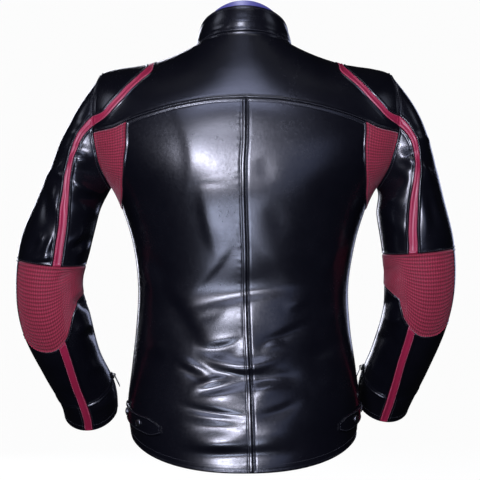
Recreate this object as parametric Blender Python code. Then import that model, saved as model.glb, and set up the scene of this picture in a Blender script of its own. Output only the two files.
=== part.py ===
"""Leather motorcycle jacket with red shoulder and sleeve stripes and ribbed panels.

Metres, +Z up. The front faces -Y, the wearer's left is +X, and the origin is the
middle of the neck opening at the height of the neck's sides. The jacket keeps the
filled, hollow form in which it is worn. Every cut piece is a closed wall of its own,
worked out from cross-sections of the body and of the sleeves.
"""
import math

import bmesh
import bpy
import numpy as np
from mathutils import Matrix, Vector

LEATHER_WALL = 0.0018
LINING_WALL = 0.0012
TAPE_WALL = 0.0012
SEAM_GAP = 0.0003
LAY_GAP = 0.0005

# body sections from the hem up to the neck seam; a section is a tilted ring
TORSO_COLUMNS = ("side_z", "half_width", "back_y", "back_z", "front_y", "front_z",
                 "squareness", "dip", "shift_x")
TORSO = np.array([
    (-0.590, 0.1700, 0.128, -0.638, -0.118, -0.602, 2.30, 1.4, 0.000),
    (-0.545, 0.1750, 0.126, -0.575, -0.119, -0.552, 2.30, 1.2, 0.000),
    (-0.490, 0.1690, 0.116, -0.505, -0.117, -0.495, 2.30, 1.2, 0.000),
    (-0.430, 0.1615, 0.102, -0.436, -0.116, -0.432, 2.30, 1.2, 0.001),
    (-0.370, 0.1585, 0.097, -0.372, -0.118, -0.372, 2.30, 1.2, 0.001),
    (-0.315, 0.1650, 0.103, -0.315, -0.124, -0.315, 2.35, 1.2, 0.000),
    (-0.268, 0.1770, 0.110, -0.268, -0.129, -0.268, 2.40, 1.2, 0.000),
    (-0.222, 0.1965, 0.115, -0.225, -0.131, -0.226, 2.45, 1.2, 0.000),
    (-0.172, 0.2330, 0.115, -0.183, -0.131, -0.190, 2.50, 1.2, -0.001),
    (-0.112, 0.2480, 0.112, -0.145, -0.127, -0.160, 2.40, 1.2, -0.003),
    (-0.048, 0.2250, 0.105, -0.100, -0.116, -0.125, 2.20, 1.2, -0.003),
    (-0.028, 0.1420, 0.088, -0.045, -0.098, -0.092, 2.10, 1.2, -0.003),
    (-0.006, 0.0735, 0.064, 0.016, -0.074, -0.062, 2.00, 1.4, 0.000),
])
NECK_LEVEL = 12.0
# the body is turned a little on the wearer, most at the hem
HEM_TWIST_DEG = 4.5
TWIST_ENDS_AT_LEVEL = 8.0

# stand collar, same columns, from the neck seam to its top edge
COLLAR = np.array([
    (-0.006, 0.0735, 0.064, 0.016, -0.074, -0.062, 2.0, 1.4, 0.0),
    (0.006, 0.0705, 0.060, 0.037, -0.0755, -0.040, 2.0, 1.0, 0.0),
    (0.016, 0.0655, 0.053, 0.055, -0.0740, -0.018, 2.0, 0.75, 0.0),
])
COLLAR_END = 0.0015
LINING_RIM = 0.0080
LINING_RIM_HALF_WIDTH = 0.048
LINING_RIM_LEAST = 0.0012
LINING_STARTS_AT = 0.12

# seams of the body, columns: angle in degrees (0 side, 90 back, -90 front), level
YOKE_SEAM_BACK = [(90.0, 10.26), (76.5, 10.19), (64.5, 9.96), (53.3, 9.58), (46.5, 9.30)]
YOKE_SEAM_SIDE = [(46.5, 9.30), (40.2, 9.05), (28.7, 8.82)]
PRINCESS_SEAM = [(0.0, 6.35), (20.2, 6.73), (31.9, 7.21), (40.6, 7.69), (45.1, 8.18),
                 (47.3, 8.70), (46.5, 9.30)]
STRIPE_INNER = [(27.9, 9.01), (33.6, 9.22), (37.4, 9.50), (39.7, 9.98), (35.8, 10.46),
                (27.5, 10.82), (8.0, 11.02), (-16.0, 11.05)]
STRIPE_OUTER = [(26.2, 9.25), (31.5, 9.38), (34.0, 9.57), (35.7, 10.05), (29.2, 10.52),
                (15.2, 10.87), (0.0, 10.93), (-16.0, 10.94)]
SHOULDER_SEAM_INNER = [(-16.0, 12.0), (-16.0, 11.5), (-16.0, 11.05)]
SHOULDER_SEAM_OUTER = [(-16.0, 10.94), (-13.5, 10.5), (-9.9, 10.0)]
ARMHOLE_HALF_TURN_DEG = 29.0
ARMHOLE_LEVEL = 8.62
ARMHOLE_HALF_LEVELS = 1.47
FRONT_ZIP_HALF_WIDTH = 0.0100

# sleeve sections from the biceps to the cuff, one table a side, x outward; columns:
# x, y, z, half width, half depth, lean and pitch in degrees
SLEEVE = {
    "left": np.array([
        (0.2681, 0.000, -0.2475, 0.0479, 0.0620, 15.0, 0.0),
        (0.2862, 0.002, -0.3032, 0.0527, 0.0590, 9.0, 3.0),
        (0.2964, -0.002, -0.3648, 0.0502, 0.0550, 0.0, 12.0),
        (0.2878, -0.024, -0.4215, 0.0532, 0.0540, -13.0, 28.0),
        (0.2680, -0.066, -0.4843, 0.0470, 0.0500, -20.0, 38.0),
        (0.2458, -0.104, -0.5344, 0.0454, 0.0470, -18.0, 41.0),
        (0.2406, -0.129, -0.5650, 0.0425, 0.0450, -12.0, 42.0),
    ]),
    "right": np.array([
        (0.2531, 0.000, -0.2473, 0.0524, 0.0620, 14.0, 0.0),
        (0.2642, 0.002, -0.3040, 0.0547, 0.0590, 6.0, 3.0),
        (0.2675, -0.002, -0.3618, 0.0536, 0.0550, -1.0, 12.0),
        (0.2617, -0.024, -0.4155, 0.0502, 0.0540, -14.0, 28.0),
        (0.2431, -0.064, -0.4766, 0.0470, 0.0500, -20.0, 38.0),
        (0.2255, -0.101, -0.5233, 0.0454, 0.0470, -19.0, 41.0),
        (0.2185, -0.125, -0.5530, 0.0410, 0.0440, -17.0, 40.0),
    ]),
}
CUFF_STATION = 7.0
# where the sleeve leaves the armhole; columns: outward, more outward at back and front,
# down, less down at back and front, fullness
CAP_LEAVE = {"left": (0.50, 0.30, 0.87, 0.43, 1.00),
             "right": (0.62, 0.20, 0.78, 0.34, 1.15)}
CAP_BULGE = 0.12

# the sleeve stripe, columns: station, centre in degrees, half width in degrees
STRIPE_ON_SLEEVE = np.array([
    (0.0, 20.5, 5.0), (0.5, 13.0, 6.0), (1.0, 0.0, 7.0), (1.6, -10.0, 6.6),
    (2.4, -15.0, 6.8), (4.6, -2.0, 7.2), (5.4, 8.0, 7.6), (6.0, 13.0, 7.8),
    (7.0, 11.0, 8.2),
])
# elbow patch, one row a side: station of its top seam, and of its lower seam's low point
ELBOW = {"left": (2.43, 4.27), "right": (2.15, 4.02)}
# how many stations higher the lower seam is, at even turns from the underarm seam on
LOW_SEAM_LIFT = np.array([[1.00], [0.92], [0.70], [0.25], [0.03], [0.00], [0.08], [0.36]])
LIFT_STEP_DEG = 24.0
CUFF_ZIP_TOP = {"left": 5.75, "right": 5.70}
CUFF_ZIP_OPEN_DEG = 8.0

RIB_PITCH = 0.0052
RIB_HEIGHT = 0.0010

# steps of the grids between the seams
SIDE_STEPS = 13
UNDERARM_STEPS = 2
PRINCESS_STEPS = 6
ARMHOLE_FRONT_STEPS = 8
BACK_STEPS = 9
FRONT_STEPS = 9
STRIPE_STEPS = 5
SHOULDER_STEPS = 3
CAP_STEPS = 3
NECK_BACK_STEPS = BACK_STEPS + 2
NECK_FRONT_STEPS = FRONT_STEPS
FRONT_RELAX = 30
YOKE_RELAX = 2
SLEEVE_STEPS = ((0.0, 1.0, 6), (1.0, "top", 3), ("top", "low", 5), ("low", "zip", 4),
                ("zip", CUFF_STATION, 3))
ARMHOLE_TOP_DEG = 110.0
ARMHOLE_LAST_STEP_DEG = 11.0

# the largest folds; columns: x and z of both ends, depth (+ ridge, - trough), half width
BACK_FOLDS = [
    (0.066, -0.362, -0.006, -0.330, 0.0040, 0.011),
    (0.080, -0.405, 0.070, -0.438, -0.0035, 0.010),
    (0.070, -0.438, -0.004, -0.420, -0.0040, 0.011),
    (0.075, -0.452, 0.000, -0.466, 0.0035, 0.011),
    (0.055, -0.470, -0.060, -0.486, 0.0035, 0.010),
    (-0.030, -0.458, -0.075, -0.428, -0.0050, 0.011),
    (-0.075, -0.428, -0.125, -0.400, -0.0035, 0.012),
    (0.095, -0.552, -0.006, -0.568, -0.0045, 0.012),
    (0.085, -0.530, -0.010, -0.536, 0.0030, 0.010),
    (-0.015, -0.560, -0.080, -0.535, -0.0035, 0.011),
    (0.158, -0.320, 0.128, -0.400, 0.0030, 0.010),
    (0.120, -0.200, 0.060, -0.235, 0.0030, 0.014),
    (-0.060, -0.240, -0.130, -0.200, 0.0025, 0.014),
]
FRONT_FOLDS = [
    (0.130, -0.345, 0.050, -0.365, 0.0035, 0.011),
    (-0.135, -0.350, -0.045, -0.372, 0.0035, 0.011),
    (0.120, -0.405, 0.035, -0.395, -0.0035, 0.011),
    (-0.115, -0.410, -0.040, -0.402, -0.0035, 0.011),
    (0.140, -0.470, 0.060, -0.500, 0.0030, 0.012),
    (-0.140, -0.475, -0.055, -0.490, 0.0030, 0.012),
]
# folds of the sleeves; columns: station and angle of both ends, depth, half width
SLEEVE_FOLDS = {
    "left": [
        (0.9, 60.0, 1.5, -5.0, 0.0030, 0.009),
        (1.4, -60.0, 1.9, 20.0, 0.0028, 0.009),
        (2.6, -95.0, 3.0, -40.0, -0.0045, 0.008),
        (3.4, -95.0, 3.6, -50.0, 0.0035, 0.008),
        (2.7, 200.0, 2.9, 150.0, -0.0050, 0.009),
        (3.3, 210.0, 3.4, 140.0, 0.0045, 0.009),
        (3.9, 205.0, 3.9, 150.0, -0.0045, 0.009),
        (5.2, 60.0, 5.6, 110.0, 0.0025, 0.008),
    ],
    "right": [
        (0.35, 35.0, 0.75, 15.0, -0.0040, 0.008),
        (0.9, 70.0, 1.6, 10.0, 0.0030, 0.009),
        (2.5, -95.0, 2.7, -40.0, -0.0045, 0.008),
        (3.3, -95.0, 3.7, -45.0, -0.0040, 0.008),
        (2.6, 205.0, 2.8, 145.0, -0.0050, 0.009),
        (3.2, 210.0, 3.4, 150.0, 0.0045, 0.009),
        (3.8, 200.0, 3.9, 140.0, -0.0045, 0.009),
    ],
}

# hem adjusters: columns of the body grid each side of the side seam, rows above the hem
STRAP_FRONT_COLUMNS = 2.6
STRAP_BACK_COLUMNS = 3.3
STRAP_ROWS = (1.06, 1.98)
STRAP_WALL = 0.0022
STRAP_TAPER = 0.32
CAP_RADIUS = 0.0058
CAP_HEIGHT = 0.0024
CAP_PLACES = (("outer", 0.62), ("inner", 2.75))

# zip slider and pull, in the slider's own frame: x down the zip, z off the cloth
SLIDER_SIZE = (0.0095, 0.0070, 0.0024)
ARCH_RADIUS = 0.0033
ARCH_WIRE = 0.0006
ARCH_SUNK_DEG = 14.0
PIN_HEIGHT = 0.0014
PULL_SIZE = (0.0240, 0.0068, 0.0012)
PULL_BAR = 0.0005
PULL_WINDOW = (0.0054, 0.0026)
SLIDER_LIFT = 0.0008
FRONT_SLIDER_LEVEL = 11.45

BLACK_LEATHER = ("black_leather", (0.012, 0.012, 0.017), 0.34, 0.0)
RED_LEATHER = ("red_leather", (0.36, 0.012, 0.045), 0.38, 0.0)
RED_MESH = ("red_ribbed_fabric", (0.34, 0.012, 0.040), 0.62, 0.0)
VIOLET_LINING = ("violet_satin", (0.065, 0.060, 0.200), 0.42, 0.0)
ZIP_TAPE = ("black_tape", (0.015, 0.015, 0.018), 0.80, 0.0)
GUNMETAL = ("gunmetal", (0.16, 0.16, 0.17), 0.30, 1.0)


def column(table, names, name):
    return table[:, names.index(name)]


def between(rows, at):
    """Smooth values of a table's rows at fractional row numbers."""
    at = np.asarray(at, float)
    extended = np.vstack([2 * rows[0] - rows[1], rows, 2 * rows[-1] - rows[-2]])
    first = np.clip(np.floor(at).astype(int), 0, len(rows) - 2)
    part = (at - first)[..., None]
    a, b, c, d = (extended[first + k] for k in range(4))
    return 0.5 * (2 * b + (c - a) * part + (2 * a - 5 * b + 4 * c - d) * part ** 2
                  + (3 * b - a - 3 * c + d) * part ** 3)


def unit(vectors):
    return vectors / np.linalg.norm(vectors, axis=-1, keepdims=True)


def ring_point(values, angle, mirror):
    """Point of a tilted ring at an angle in degrees, the right side mirrored."""
    (side_z, half_width, back_y, back_z, front_y, front_z, squareness, dip,
     shift_x) = np.moveaxis(values, -1, 0)
    cosine = np.cos(np.radians(angle))
    sine = np.sin(np.radians(angle))
    size = (abs(cosine) ** squareness + abs(sine) ** squareness) ** (1 / squareness)
    behind = sine > 0
    reach = np.where(behind, back_y, -front_y)
    rise = np.where(behind, back_z, front_z) - side_z
    return np.stack([shift_x + mirror * half_width * cosine / size, reach * sine / size,
                     side_z + rise * (abs(sine) / size) ** dip], axis=-1)


def fold_height(across, up, folds):
    """Height of the soft folds at points given in the folds' own two columns."""
    height = np.zeros(np.shape(across))
    for x1, z1, x2, z2, depth, width in folds:
        dx, dz = x2 - x1, z2 - z1
        along = np.clip(((across - x1) * dx + (up - z1) * dz) / (dx * dx + dz * dz), 0, 1)
        apart = np.hypot(across - x1 - along * dx, up - z1 - along * dz)
        height = height + depth * np.exp(-(apart / width) ** 2)
    return height


class Body:
    """The torso's surface on one side, by angle and level."""

    def __init__(self, side):
        self.mirror = 1 if side == "left" else -1

    def base(self, angle, level):
        turn = HEM_TWIST_DEG * np.clip(1 - level / TWIST_ENDS_AT_LEVEL, 0, 1) ** 1.3
        return ring_point(between(TORSO, level), angle + self.mirror * turn, self.mirror)

    def out(self, angle, level):
        small = 0.02
        across = self.base(angle + small, level) - self.base(angle - small, level)
        up = self.base(angle, level + small) - self.base(angle, level - small)
        return unit(np.cross(across, up) * self.mirror)

    def point(self, angle, level):
        place = self.base(angle, level)
        away = self.out(angle, level)
        x, y, z = np.moveaxis(place, -1, 0)
        behind = np.clip(y / 0.05, 0, 1)
        before = np.clip(-y / 0.05, 0, 1)
        height = behind * fold_height(x, z, BACK_FOLDS)
        height = height + before * fold_height(x, z, FRONT_FOLDS)
        return place + away * height[..., None]


class Collar:
    """The stand collar's surface on one side, by angle and level."""

    def __init__(self, side):
        self.mirror = 1 if side == "left" else -1

    def point(self, angle, level):
        return ring_point(between(COLLAR, level), angle, self.mirror)

    def out(self, angle, level):
        small = 0.02
        across = self.point(angle + small, level) - self.point(angle - small, level)
        up = self.point(angle, level + small) - self.point(angle, level - small)
        return unit(np.cross(across, up) * self.mirror)


def armhole(turn):
    """Angle and level of the armhole seam at a turn in degrees (0 back, 90 top)."""
    turn = np.radians(turn)
    return np.stack([ARMHOLE_HALF_TURN_DEG * np.cos(turn),
                     ARMHOLE_LEVEL + ARMHOLE_HALF_LEVELS * np.sin(turn)], axis=-1)


class Sleeve:
    """One sleeve's surface, by turn in degrees round it and station down it."""

    def __init__(self, side):
        self.side = side
        self.mirror = 1 if side == "left" else -1
        self.table = SLEEVE[side]
        self.body = Body(side)

    def tube(self, turn, station):
        x, y, z, half_width, half_depth, lean, pitch = np.moveaxis(
            between(self.table, station - 1), -1, 0)
        lean, pitch, turn = np.radians(lean), np.radians(pitch), np.radians(turn)
        zero = np.zeros_like(lean)
        outward = np.stack([np.cos(lean), zero, np.sin(lean)], axis=-1)
        backward = np.stack([zero, np.cos(pitch), -np.sin(pitch)], axis=-1)
        skew = np.sum(outward * backward, axis=-1, keepdims=True)
        backward = unit(backward - skew * outward)
        centre = np.stack([x, y, z], axis=-1)
        return (centre + outward * (half_width * np.sin(turn))[..., None]
                + backward * (half_depth * np.cos(turn))[..., None])

    def base(self, turn, station):
        """Point with x outward, before the right side is mirrored."""
        turn, station = np.broadcast_arrays(np.asarray(turn, float),
                                            np.asarray(station, float))
        seam = armhole(turn)
        start = self.body.point(seam[..., 0], seam[..., 1])
        start = start * np.array([self.mirror, 1, 1])
        end = self.tube(turn, np.ones_like(station))
        ahead = self.tube(turn, np.full_like(station, 1.02))
        level_part = abs(np.cos(np.radians(turn)))
        out, out_flat, down, down_flat, fullness = CAP_LEAVE[self.side]
        under = np.clip(-np.sin(np.radians(turn)), 0, 1)
        leave = np.stack([out + out_flat * level_part - (out - 0.45) * under,
                          CAP_BULGE * np.cos(np.radians(turn)),
                          -down + down_flat * level_part - (0.89 - down) * under], axis=-1)
        length = np.linalg.norm(end - start, axis=-1, keepdims=True)
        leave = unit(leave) * length * fullness
        arrive = unit(ahead - end) * length
        t = np.clip(station, 0, 1)[..., None]
        cap = ((2 * t ** 3 - 3 * t ** 2 + 1) * start + (t ** 3 - 2 * t ** 2 + t) * leave
               + (3 * t ** 2 - 2 * t ** 3) * end + (t ** 3 - t ** 2) * arrive)
        tube = self.tube(turn, np.maximum(station, 1.0))
        return np.where(station[..., None] < 1, cap, tube)

    def out(self, turn, station):
        small_turn, small = 0.05, 0.004
        across = self.base(turn + small_turn, station) - self.base(turn - small_turn, station)
        back_step = np.minimum(small, station)
        down = self.base(turn, station + small) - self.base(turn, station - back_step)
        away = unit(np.cross(across, down))
        return away * np.array([self.mirror, 1, 1])

    def point(self, turn, station):
        turn, station = np.broadcast_arrays(np.asarray(turn, float),
                                            np.asarray(station, float))
        scale = np.array([0.055, 0.0009])
        height = np.zeros(turn.shape)
        for s1, t1, s2, t2, depth, width in SLEEVE_FOLDS[self.side]:
            for lap in (-360.0, 0.0, 360.0):
                fold = (s1 * scale[0], (t1 + lap) * scale[1],
                        s2 * scale[0], (t2 + lap) * scale[1], depth, width)
                height = height + fold_height(station * scale[0], turn * scale[1], [fold])
        height = height * np.clip(station / 0.4, 0, 1)
        place = self.base(turn, station) * np.array([self.mirror, 1, 1])
        return place + self.out(turn, station) * height[..., None]

    def stripe(self, station):
        table = STRIPE_ON_SLEEVE
        centre = np.interp(station, table[:, 0], table[:, 1])
        half = np.interp(station, table[:, 0], table[:, 2])
        return centre, half


def key(point):
    return tuple(np.round(np.asarray(point) * 20000).astype(int))


# directions of the walls where two unlike surfaces meet, by place
MEETING = {}


def offsets(points, away):
    """Direction and depth of the wall at each point, mitred along shared seams."""
    result = away.copy()
    flat_points = points.reshape(-1, 3)
    flat_result = result.reshape(-1, 3)
    for number, point in enumerate(flat_points):
        shared = MEETING.get(key(point))
        if shared is not None:
            own = flat_result[number].copy()
            flat_result[number] = shared / max(float(np.dot(shared, own)), 0.62)
    return result


def meet(points, first, second):
    middle = unit(first + second)
    for point, direction in zip(points, middle):
        MEETING[key(point)] = direction


def block(surface, domain):
    """A grid of points and wall offsets from a grid of surface coordinates."""
    first, second = domain[..., 0], domain[..., 1]
    points = surface.point(first, second)
    return points, offsets(points, surface.out(first, second))


def spaced(surface, rows, count):
    """Even steps along a seam given by a short table of surface coordinates."""
    rows = np.asarray(rows, float)
    fine = between(rows, np.linspace(0, len(rows) - 1, 40 * (len(rows) - 1) + 1))
    places = surface.base(fine[:, 0], fine[:, 1])
    lengths = np.linalg.norm(np.diff(places, axis=0), axis=1)
    travelled = np.concatenate([[0], np.cumsum(lengths)])
    wanted = np.linspace(0, travelled[-1], count + 1)
    return np.stack([np.interp(wanted, travelled, fine[:, k]) for k in (0, 1)], axis=-1)


def joined(*runs):
    """One line from runs that start where the last one ended."""
    return np.concatenate([runs[0]] + [run[1:] for run in runs[1:]])


def filled(lower, upper, left, right, relax=0):
    """Grid between four border lines, blended from all four and evened out."""
    s = np.linspace(0, 1, len(lower))[None, :, None]
    t = np.linspace(0, 1, len(left))[:, None, None]
    rows = (1 - t) * lower[None] + t * upper[None]
    columns = (1 - s) * left[:, None] + s * right[:, None]
    corners = ((1 - s) * (1 - t) * lower[0] + s * (1 - t) * lower[-1]
               + (1 - s) * t * upper[0] + s * t * upper[-1])
    grid = rows + columns - corners
    for _ in range(relax):
        grid[1:-1, 1:-1] = (grid[:-2, 1:-1] + grid[2:, 1:-1]
                            + grid[1:-1, :-2] + grid[1:-1, 2:]) / 4
    return grid


def sewn(blocks):
    """Merge grids into one sheet: its points, wall offsets and triangles."""
    places, walls, found, triangles = [], [], {}, []
    for points, away in blocks:
        rows, columns = points.shape[:2]
        index = np.empty((rows, columns), int)
        for r in range(rows):
            for c in range(columns):
                name = key(points[r, c])
                if name not in found:
                    found[name] = len(places)
                    places.append(points[r, c])
                    walls.append(away[r, c])
                index[r, c] = found[name]
        for r in range(rows - 1):
            for c in range(columns - 1):
                triangles += split([index[r, c], index[r, c + 1],
                                    index[r + 1, c + 1], index[r + 1, c]], places, walls)
    return np.array(places), np.array(walls), triangles


def split(corners, places, walls):
    """One cell as triangles on its shorter diagonal, turned to face outward."""
    corners = [c for k, c in enumerate(corners) if c != corners[k - 1]]
    if len(corners) < 3:
        return []
    if len(corners) == 4:
        a, b, c, d = corners
        if np.linalg.norm(places[a] - places[c]) > np.linalg.norm(places[b] - places[d]):
            corners = [b, c, d, a]
        a, b, c, d = corners
        parts = [(a, b, c), (a, c, d)]
    else:
        parts = [tuple(corners)]
    result = []
    for a, b, c in parts:
        if len({a, b, c}) < 3:
            continue
        face = np.cross(places[b] - places[a], places[c] - places[a])
        outward = np.dot(face, walls[a] + walls[b] + walls[c]) > 0
        result.append((a, b, c) if outward else (a, c, b))
    return result


def border(triangles):
    """The sheet's edges that only one triangle has, in their own direction."""
    edges = set()
    for a, b, c in triangles:
        edges.update([(a, b), (b, c), (c, a)])
    return [(a, b) for a, b in sorted(edges) if (b, a) not in edges]


def drawn_in(places, walls, edges, gap):
    """Move the border points half a seam gap into the sheet."""
    shift = np.zeros_like(places)
    inward = {}
    for a, b in edges:
        for end in (a, b):
            side = np.cross(unit(walls[end]), unit(places[b] - places[a]))
            inward.setdefault(end, []).append(unit(side))
    for end, sides in inward.items():
        first, second = sides[0], sides[-1]
        shift[end] = gap * (first + second) / max(1 + float(np.dot(first, second)), 0.25)
    return places + shift


def add_object(name, mesh, look, location=None):
    thing = bpy.data.objects.new(name, mesh)
    title, colour, roughness, metallic = look
    material = bpy.data.materials.new(f"{name}_{title}")
    material.use_nodes = True
    shader = material.node_tree.nodes["Principled BSDF"]
    shader.inputs["Base Color"].default_value = (*colour, 1)
    shader.inputs["Roughness"].default_value = roughness
    shader.inputs["Metallic"].default_value = metallic
    mesh.materials.append(material)
    jacket.objects.link(thing)
    thing.parent = stand
    if location is not None:
        thing.matrix_world = location
    return thing


def closed_mesh(name, points, faces):
    mesh = bpy.data.meshes.new(name)
    mesh.from_pydata([tuple(p) for p in points], [], faces)
    mesh.update()
    mesh.shade_smooth()
    mesh.set_sharp_from_angle(angle=math.radians(38))
    return mesh


def wall_piece(name, blocks, look, wall=LEATHER_WALL, sink=0.0):
    """A closed wall from one sheet: outer face, plain inner face and its rim."""
    places, walls, triangles = sewn(blocks)
    edges = border(triangles)
    places = drawn_in(places, walls, edges, SEAM_GAP / 2)
    outer = places - walls * sink
    inner = places - walls * (sink + wall)
    count = len(places)
    faces = list(triangles)
    faces += [(c + count, b + count, a + count) for a, b, c in triangles]
    for a, b in edges:
        faces += [(b, a, a + count), (b, a + count, b + count)]
    mesh = closed_mesh(name, np.vstack([outer, inner]), faces)
    return add_object(name, mesh, look)


def ribbed_piece(name, points, away, look):
    """A wall from one grid whose outer face carries ribs along its columns."""
    places, walls, triangles = sewn([(points, away)])
    spot = {key(p): n for n, p in enumerate(places)}
    rows, columns = points.shape[:2]
    index = np.array([[spot[key(points[r, c])] for c in range(columns)]
                      for r in range(rows)])
    places = drawn_in(places, walls, border(triangles), SEAM_GAP / 2)
    outer, direction = places[index], walls[index]
    inner = outer - direction * LEATHER_WALL
    room = np.linalg.norm(np.diff(outer, axis=0), axis=2)
    height = room.mean(axis=1)
    halves = [max(2, 2 * round(float(h) / RIB_PITCH)) for h in height]
    fine, starts = [], [0]
    for r, steps in enumerate(halves):
        # the ribs are lower where they crowd together
        rib = RIB_HEIGHT * np.minimum(room[r] / height[r], 1)[:, None]
        for k in range(steps):
            part = k / steps
            line = outer[r] * (1 - part) + outer[r + 1] * part
            push = direction[r] * (1 - part) + direction[r + 1] * part
            fine.append(line + push * (rib if k % 2 else 0.0))
        starts.append(len(fine))
    fine.append(outer[-1])
    fine = np.array(fine)
    first_inner = len(fine) * columns
    vertices = np.vstack([fine.reshape(-1, 3), inner.reshape(-1, 3)])
    faces = []
    first_face = np.cross(points[0, 1] - points[0, 0], points[1, 1] - points[0, 0])
    flipped = float(np.dot(first_face, away[0, 0])) < 0

    def face(*corners):
        faces.append(tuple(reversed(corners)) if flipped else corners)

    def over(r, c):
        return r * columns + c

    def under(r, c):
        return first_inner + r * columns + c

    for r in range(len(fine) - 1):
        for c in range(columns - 1):
            face(over(r, c), over(r, c + 1), over(r + 1, c + 1))
            face(over(r, c), over(r + 1, c + 1), over(r + 1, c))
    for r in range(rows - 1):
        for c in range(columns - 1):
            face(under(r, c), under(r + 1, c + 1), under(r, c + 1))
            face(under(r, c), under(r + 1, c), under(r + 1, c + 1))
    last = len(fine) - 1
    for c in range(columns - 1):
        face(over(0, c + 1), over(0, c), under(0, c))
        face(over(0, c + 1), under(0, c), under(0, c + 1))
        face(over(last, c), over(last, c + 1), under(rows - 1, c + 1))
        face(over(last, c), under(rows - 1, c + 1), under(rows - 1, c))
    for r in range(rows - 1):
        for k in range(starts[r], starts[r + 1]):
            face(over(k, 0), over(k + 1, 0), under(r, 0))
            face(over(k + 1, columns - 1), over(k, columns - 1), under(r, columns - 1))
        end = starts[r + 1]
        face(over(end, 0), under(r + 1, 0), under(r, 0))
        face(over(end, columns - 1), under(r, columns - 1), under(r + 1, columns - 1))
    return add_object(name, closed_mesh(name, vertices, faces), look)


def frame_at(origin, along, away):
    """Placement with x along the zip, z off the cloth."""
    away = Vector(away).normalized()
    along = Vector(along)
    along = (along - away * along.dot(away)).normalized()
    across = away.cross(along)
    turn = Matrix((along, across, away)).transposed()
    return Matrix.Translation(Vector(origin)) @ turn.to_4x4()


def box_mesh(size, middle, bevel=0.0, segments=2):
    """Mesh of a box with soft edges."""
    shape = bmesh.new()
    bmesh.ops.create_cube(shape, size=1.0)
    bmesh.ops.scale(shape, vec=size, verts=shape.verts)
    bmesh.ops.translate(shape, vec=middle, verts=shape.verts)
    if bevel:
        bmesh.ops.bevel(shape, geom=list(shape.edges), offset=bevel, segments=segments,
                        affect="EDGES", profile=0.5)
    mesh = bpy.data.meshes.new("box")
    shape.to_mesh(mesh)
    shape.free()
    return mesh


def cut_or_join(thing, tool_mesh, operation):
    """Exact Boolean with a helper shape that stays out of the part."""
    helper = bpy.data.objects.new("helper", tool_mesh)
    helpers.objects.link(helper)
    helper.matrix_world = thing.matrix_world
    helper.hide_render = True
    helper.display_type = "WIRE"
    step = thing.modifiers.new(operation.lower(), "BOOLEAN")
    step.operation = operation
    step.solver = "EXACT"
    step.object = helper


def arch_mesh():
    """The bent wire bridge that holds the pull, its ends sunk in the body."""
    steps, sides = 8, 6
    shape = bmesh.new()
    rings = []
    for k in range(steps + 1):
        angle = math.radians(-ARCH_SUNK_DEG + (180 + 2 * ARCH_SUNK_DEG) * k / steps)
        ring = []
        for j in range(sides):
            tilt = 2 * math.pi * j / sides
            radius = ARCH_RADIUS + ARCH_WIRE * math.cos(tilt)
            ring.append(shape.verts.new((radius * math.cos(angle),
                                         ARCH_WIRE * math.sin(tilt),
                                         radius * math.sin(angle))))
        rings.append(ring)
    for first, second in zip(rings[:-1], rings[1:]):
        for j in range(sides):
            i = (j + 1) % sides
            shape.faces.new((first[j], first[i], second[i], second[j]))
    shape.faces.new(rings[0])
    shape.faces.new(rings[-1])
    bmesh.ops.recalc_face_normals(shape, faces=shape.faces)
    mesh = bpy.data.meshes.new("arch")
    shape.to_mesh(mesh)
    shape.free()
    return mesh


def zip_end(name, place):
    """A slider with its bridge, and the pull that hangs in the bridge."""
    height = SLIDER_SIZE[2]
    body = box_mesh(SLIDER_SIZE, (0, 0, -height / 2), bevel=0.0009)
    slider = add_object(f"{name}_slider", body, GUNMETAL, place @ Matrix.Translation(
        (0, 0, height)))
    cut_or_join(slider, arch_mesh(), "UNION")
    length, _, thick = PULL_SIZE
    middle = (length / 2 - PULL_BAR, 0, 0)
    plate = box_mesh(PULL_SIZE, middle, bevel=0.0004)
    pull = add_object(f"{name}_pull", plate, GUNMETAL, place @ Matrix.Translation(
        (0, 0, height + PIN_HEIGHT)))
    window_length, window_width = PULL_WINDOW
    window = box_mesh((window_length - PULL_BAR, window_width, 4 * thick),
                      ((window_length + PULL_BAR) / 2, 0, 0))
    cut_or_join(pull, window, "DIFFERENCE")


def snap_cap(name, origin, away):
    shape = bmesh.new()
    bmesh.ops.create_cone(shape, cap_ends=True, segments=20, radius1=CAP_RADIUS,
                          radius2=CAP_RADIUS * 0.8, depth=CAP_HEIGHT)
    bmesh.ops.translate(shape, vec=(0, 0, CAP_HEIGHT / 2), verts=shape.verts)
    mesh = bpy.data.meshes.new(name)
    shape.to_mesh(mesh)
    shape.free()
    mesh.shade_smooth()
    mesh.set_sharp_from_angle(angle=math.radians(38))
    add_object(name, mesh, GUNMETAL, frame_at(origin, (0, 0, -1), away))


def grid_at(values, row, col):
    """Value of a grid at a fractional row and column, straight between its points."""
    rows, columns = values.shape[:2]
    r = min(int(row), rows - 2)
    c = min(int(col), columns - 2)
    down, over = row - r, col - c
    return ((values[r, c] * (1 - over) + values[r, c + 1] * over) * (1 - down)
            + (values[r + 1, c] * (1 - over) + values[r + 1, c + 1] * over) * down)


for thing in list(bpy.data.objects):
    bpy.data.objects.remove(thing)
jacket = bpy.data.collections.new("motorcycle_jacket")
bpy.context.scene.collection.children.link(jacket)
helpers = bpy.data.collections.new("helpers")
bpy.context.scene.collection.children.link(helpers)
stand = bpy.data.objects.new("jacket", None)
jacket.objects.link(stand)

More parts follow.
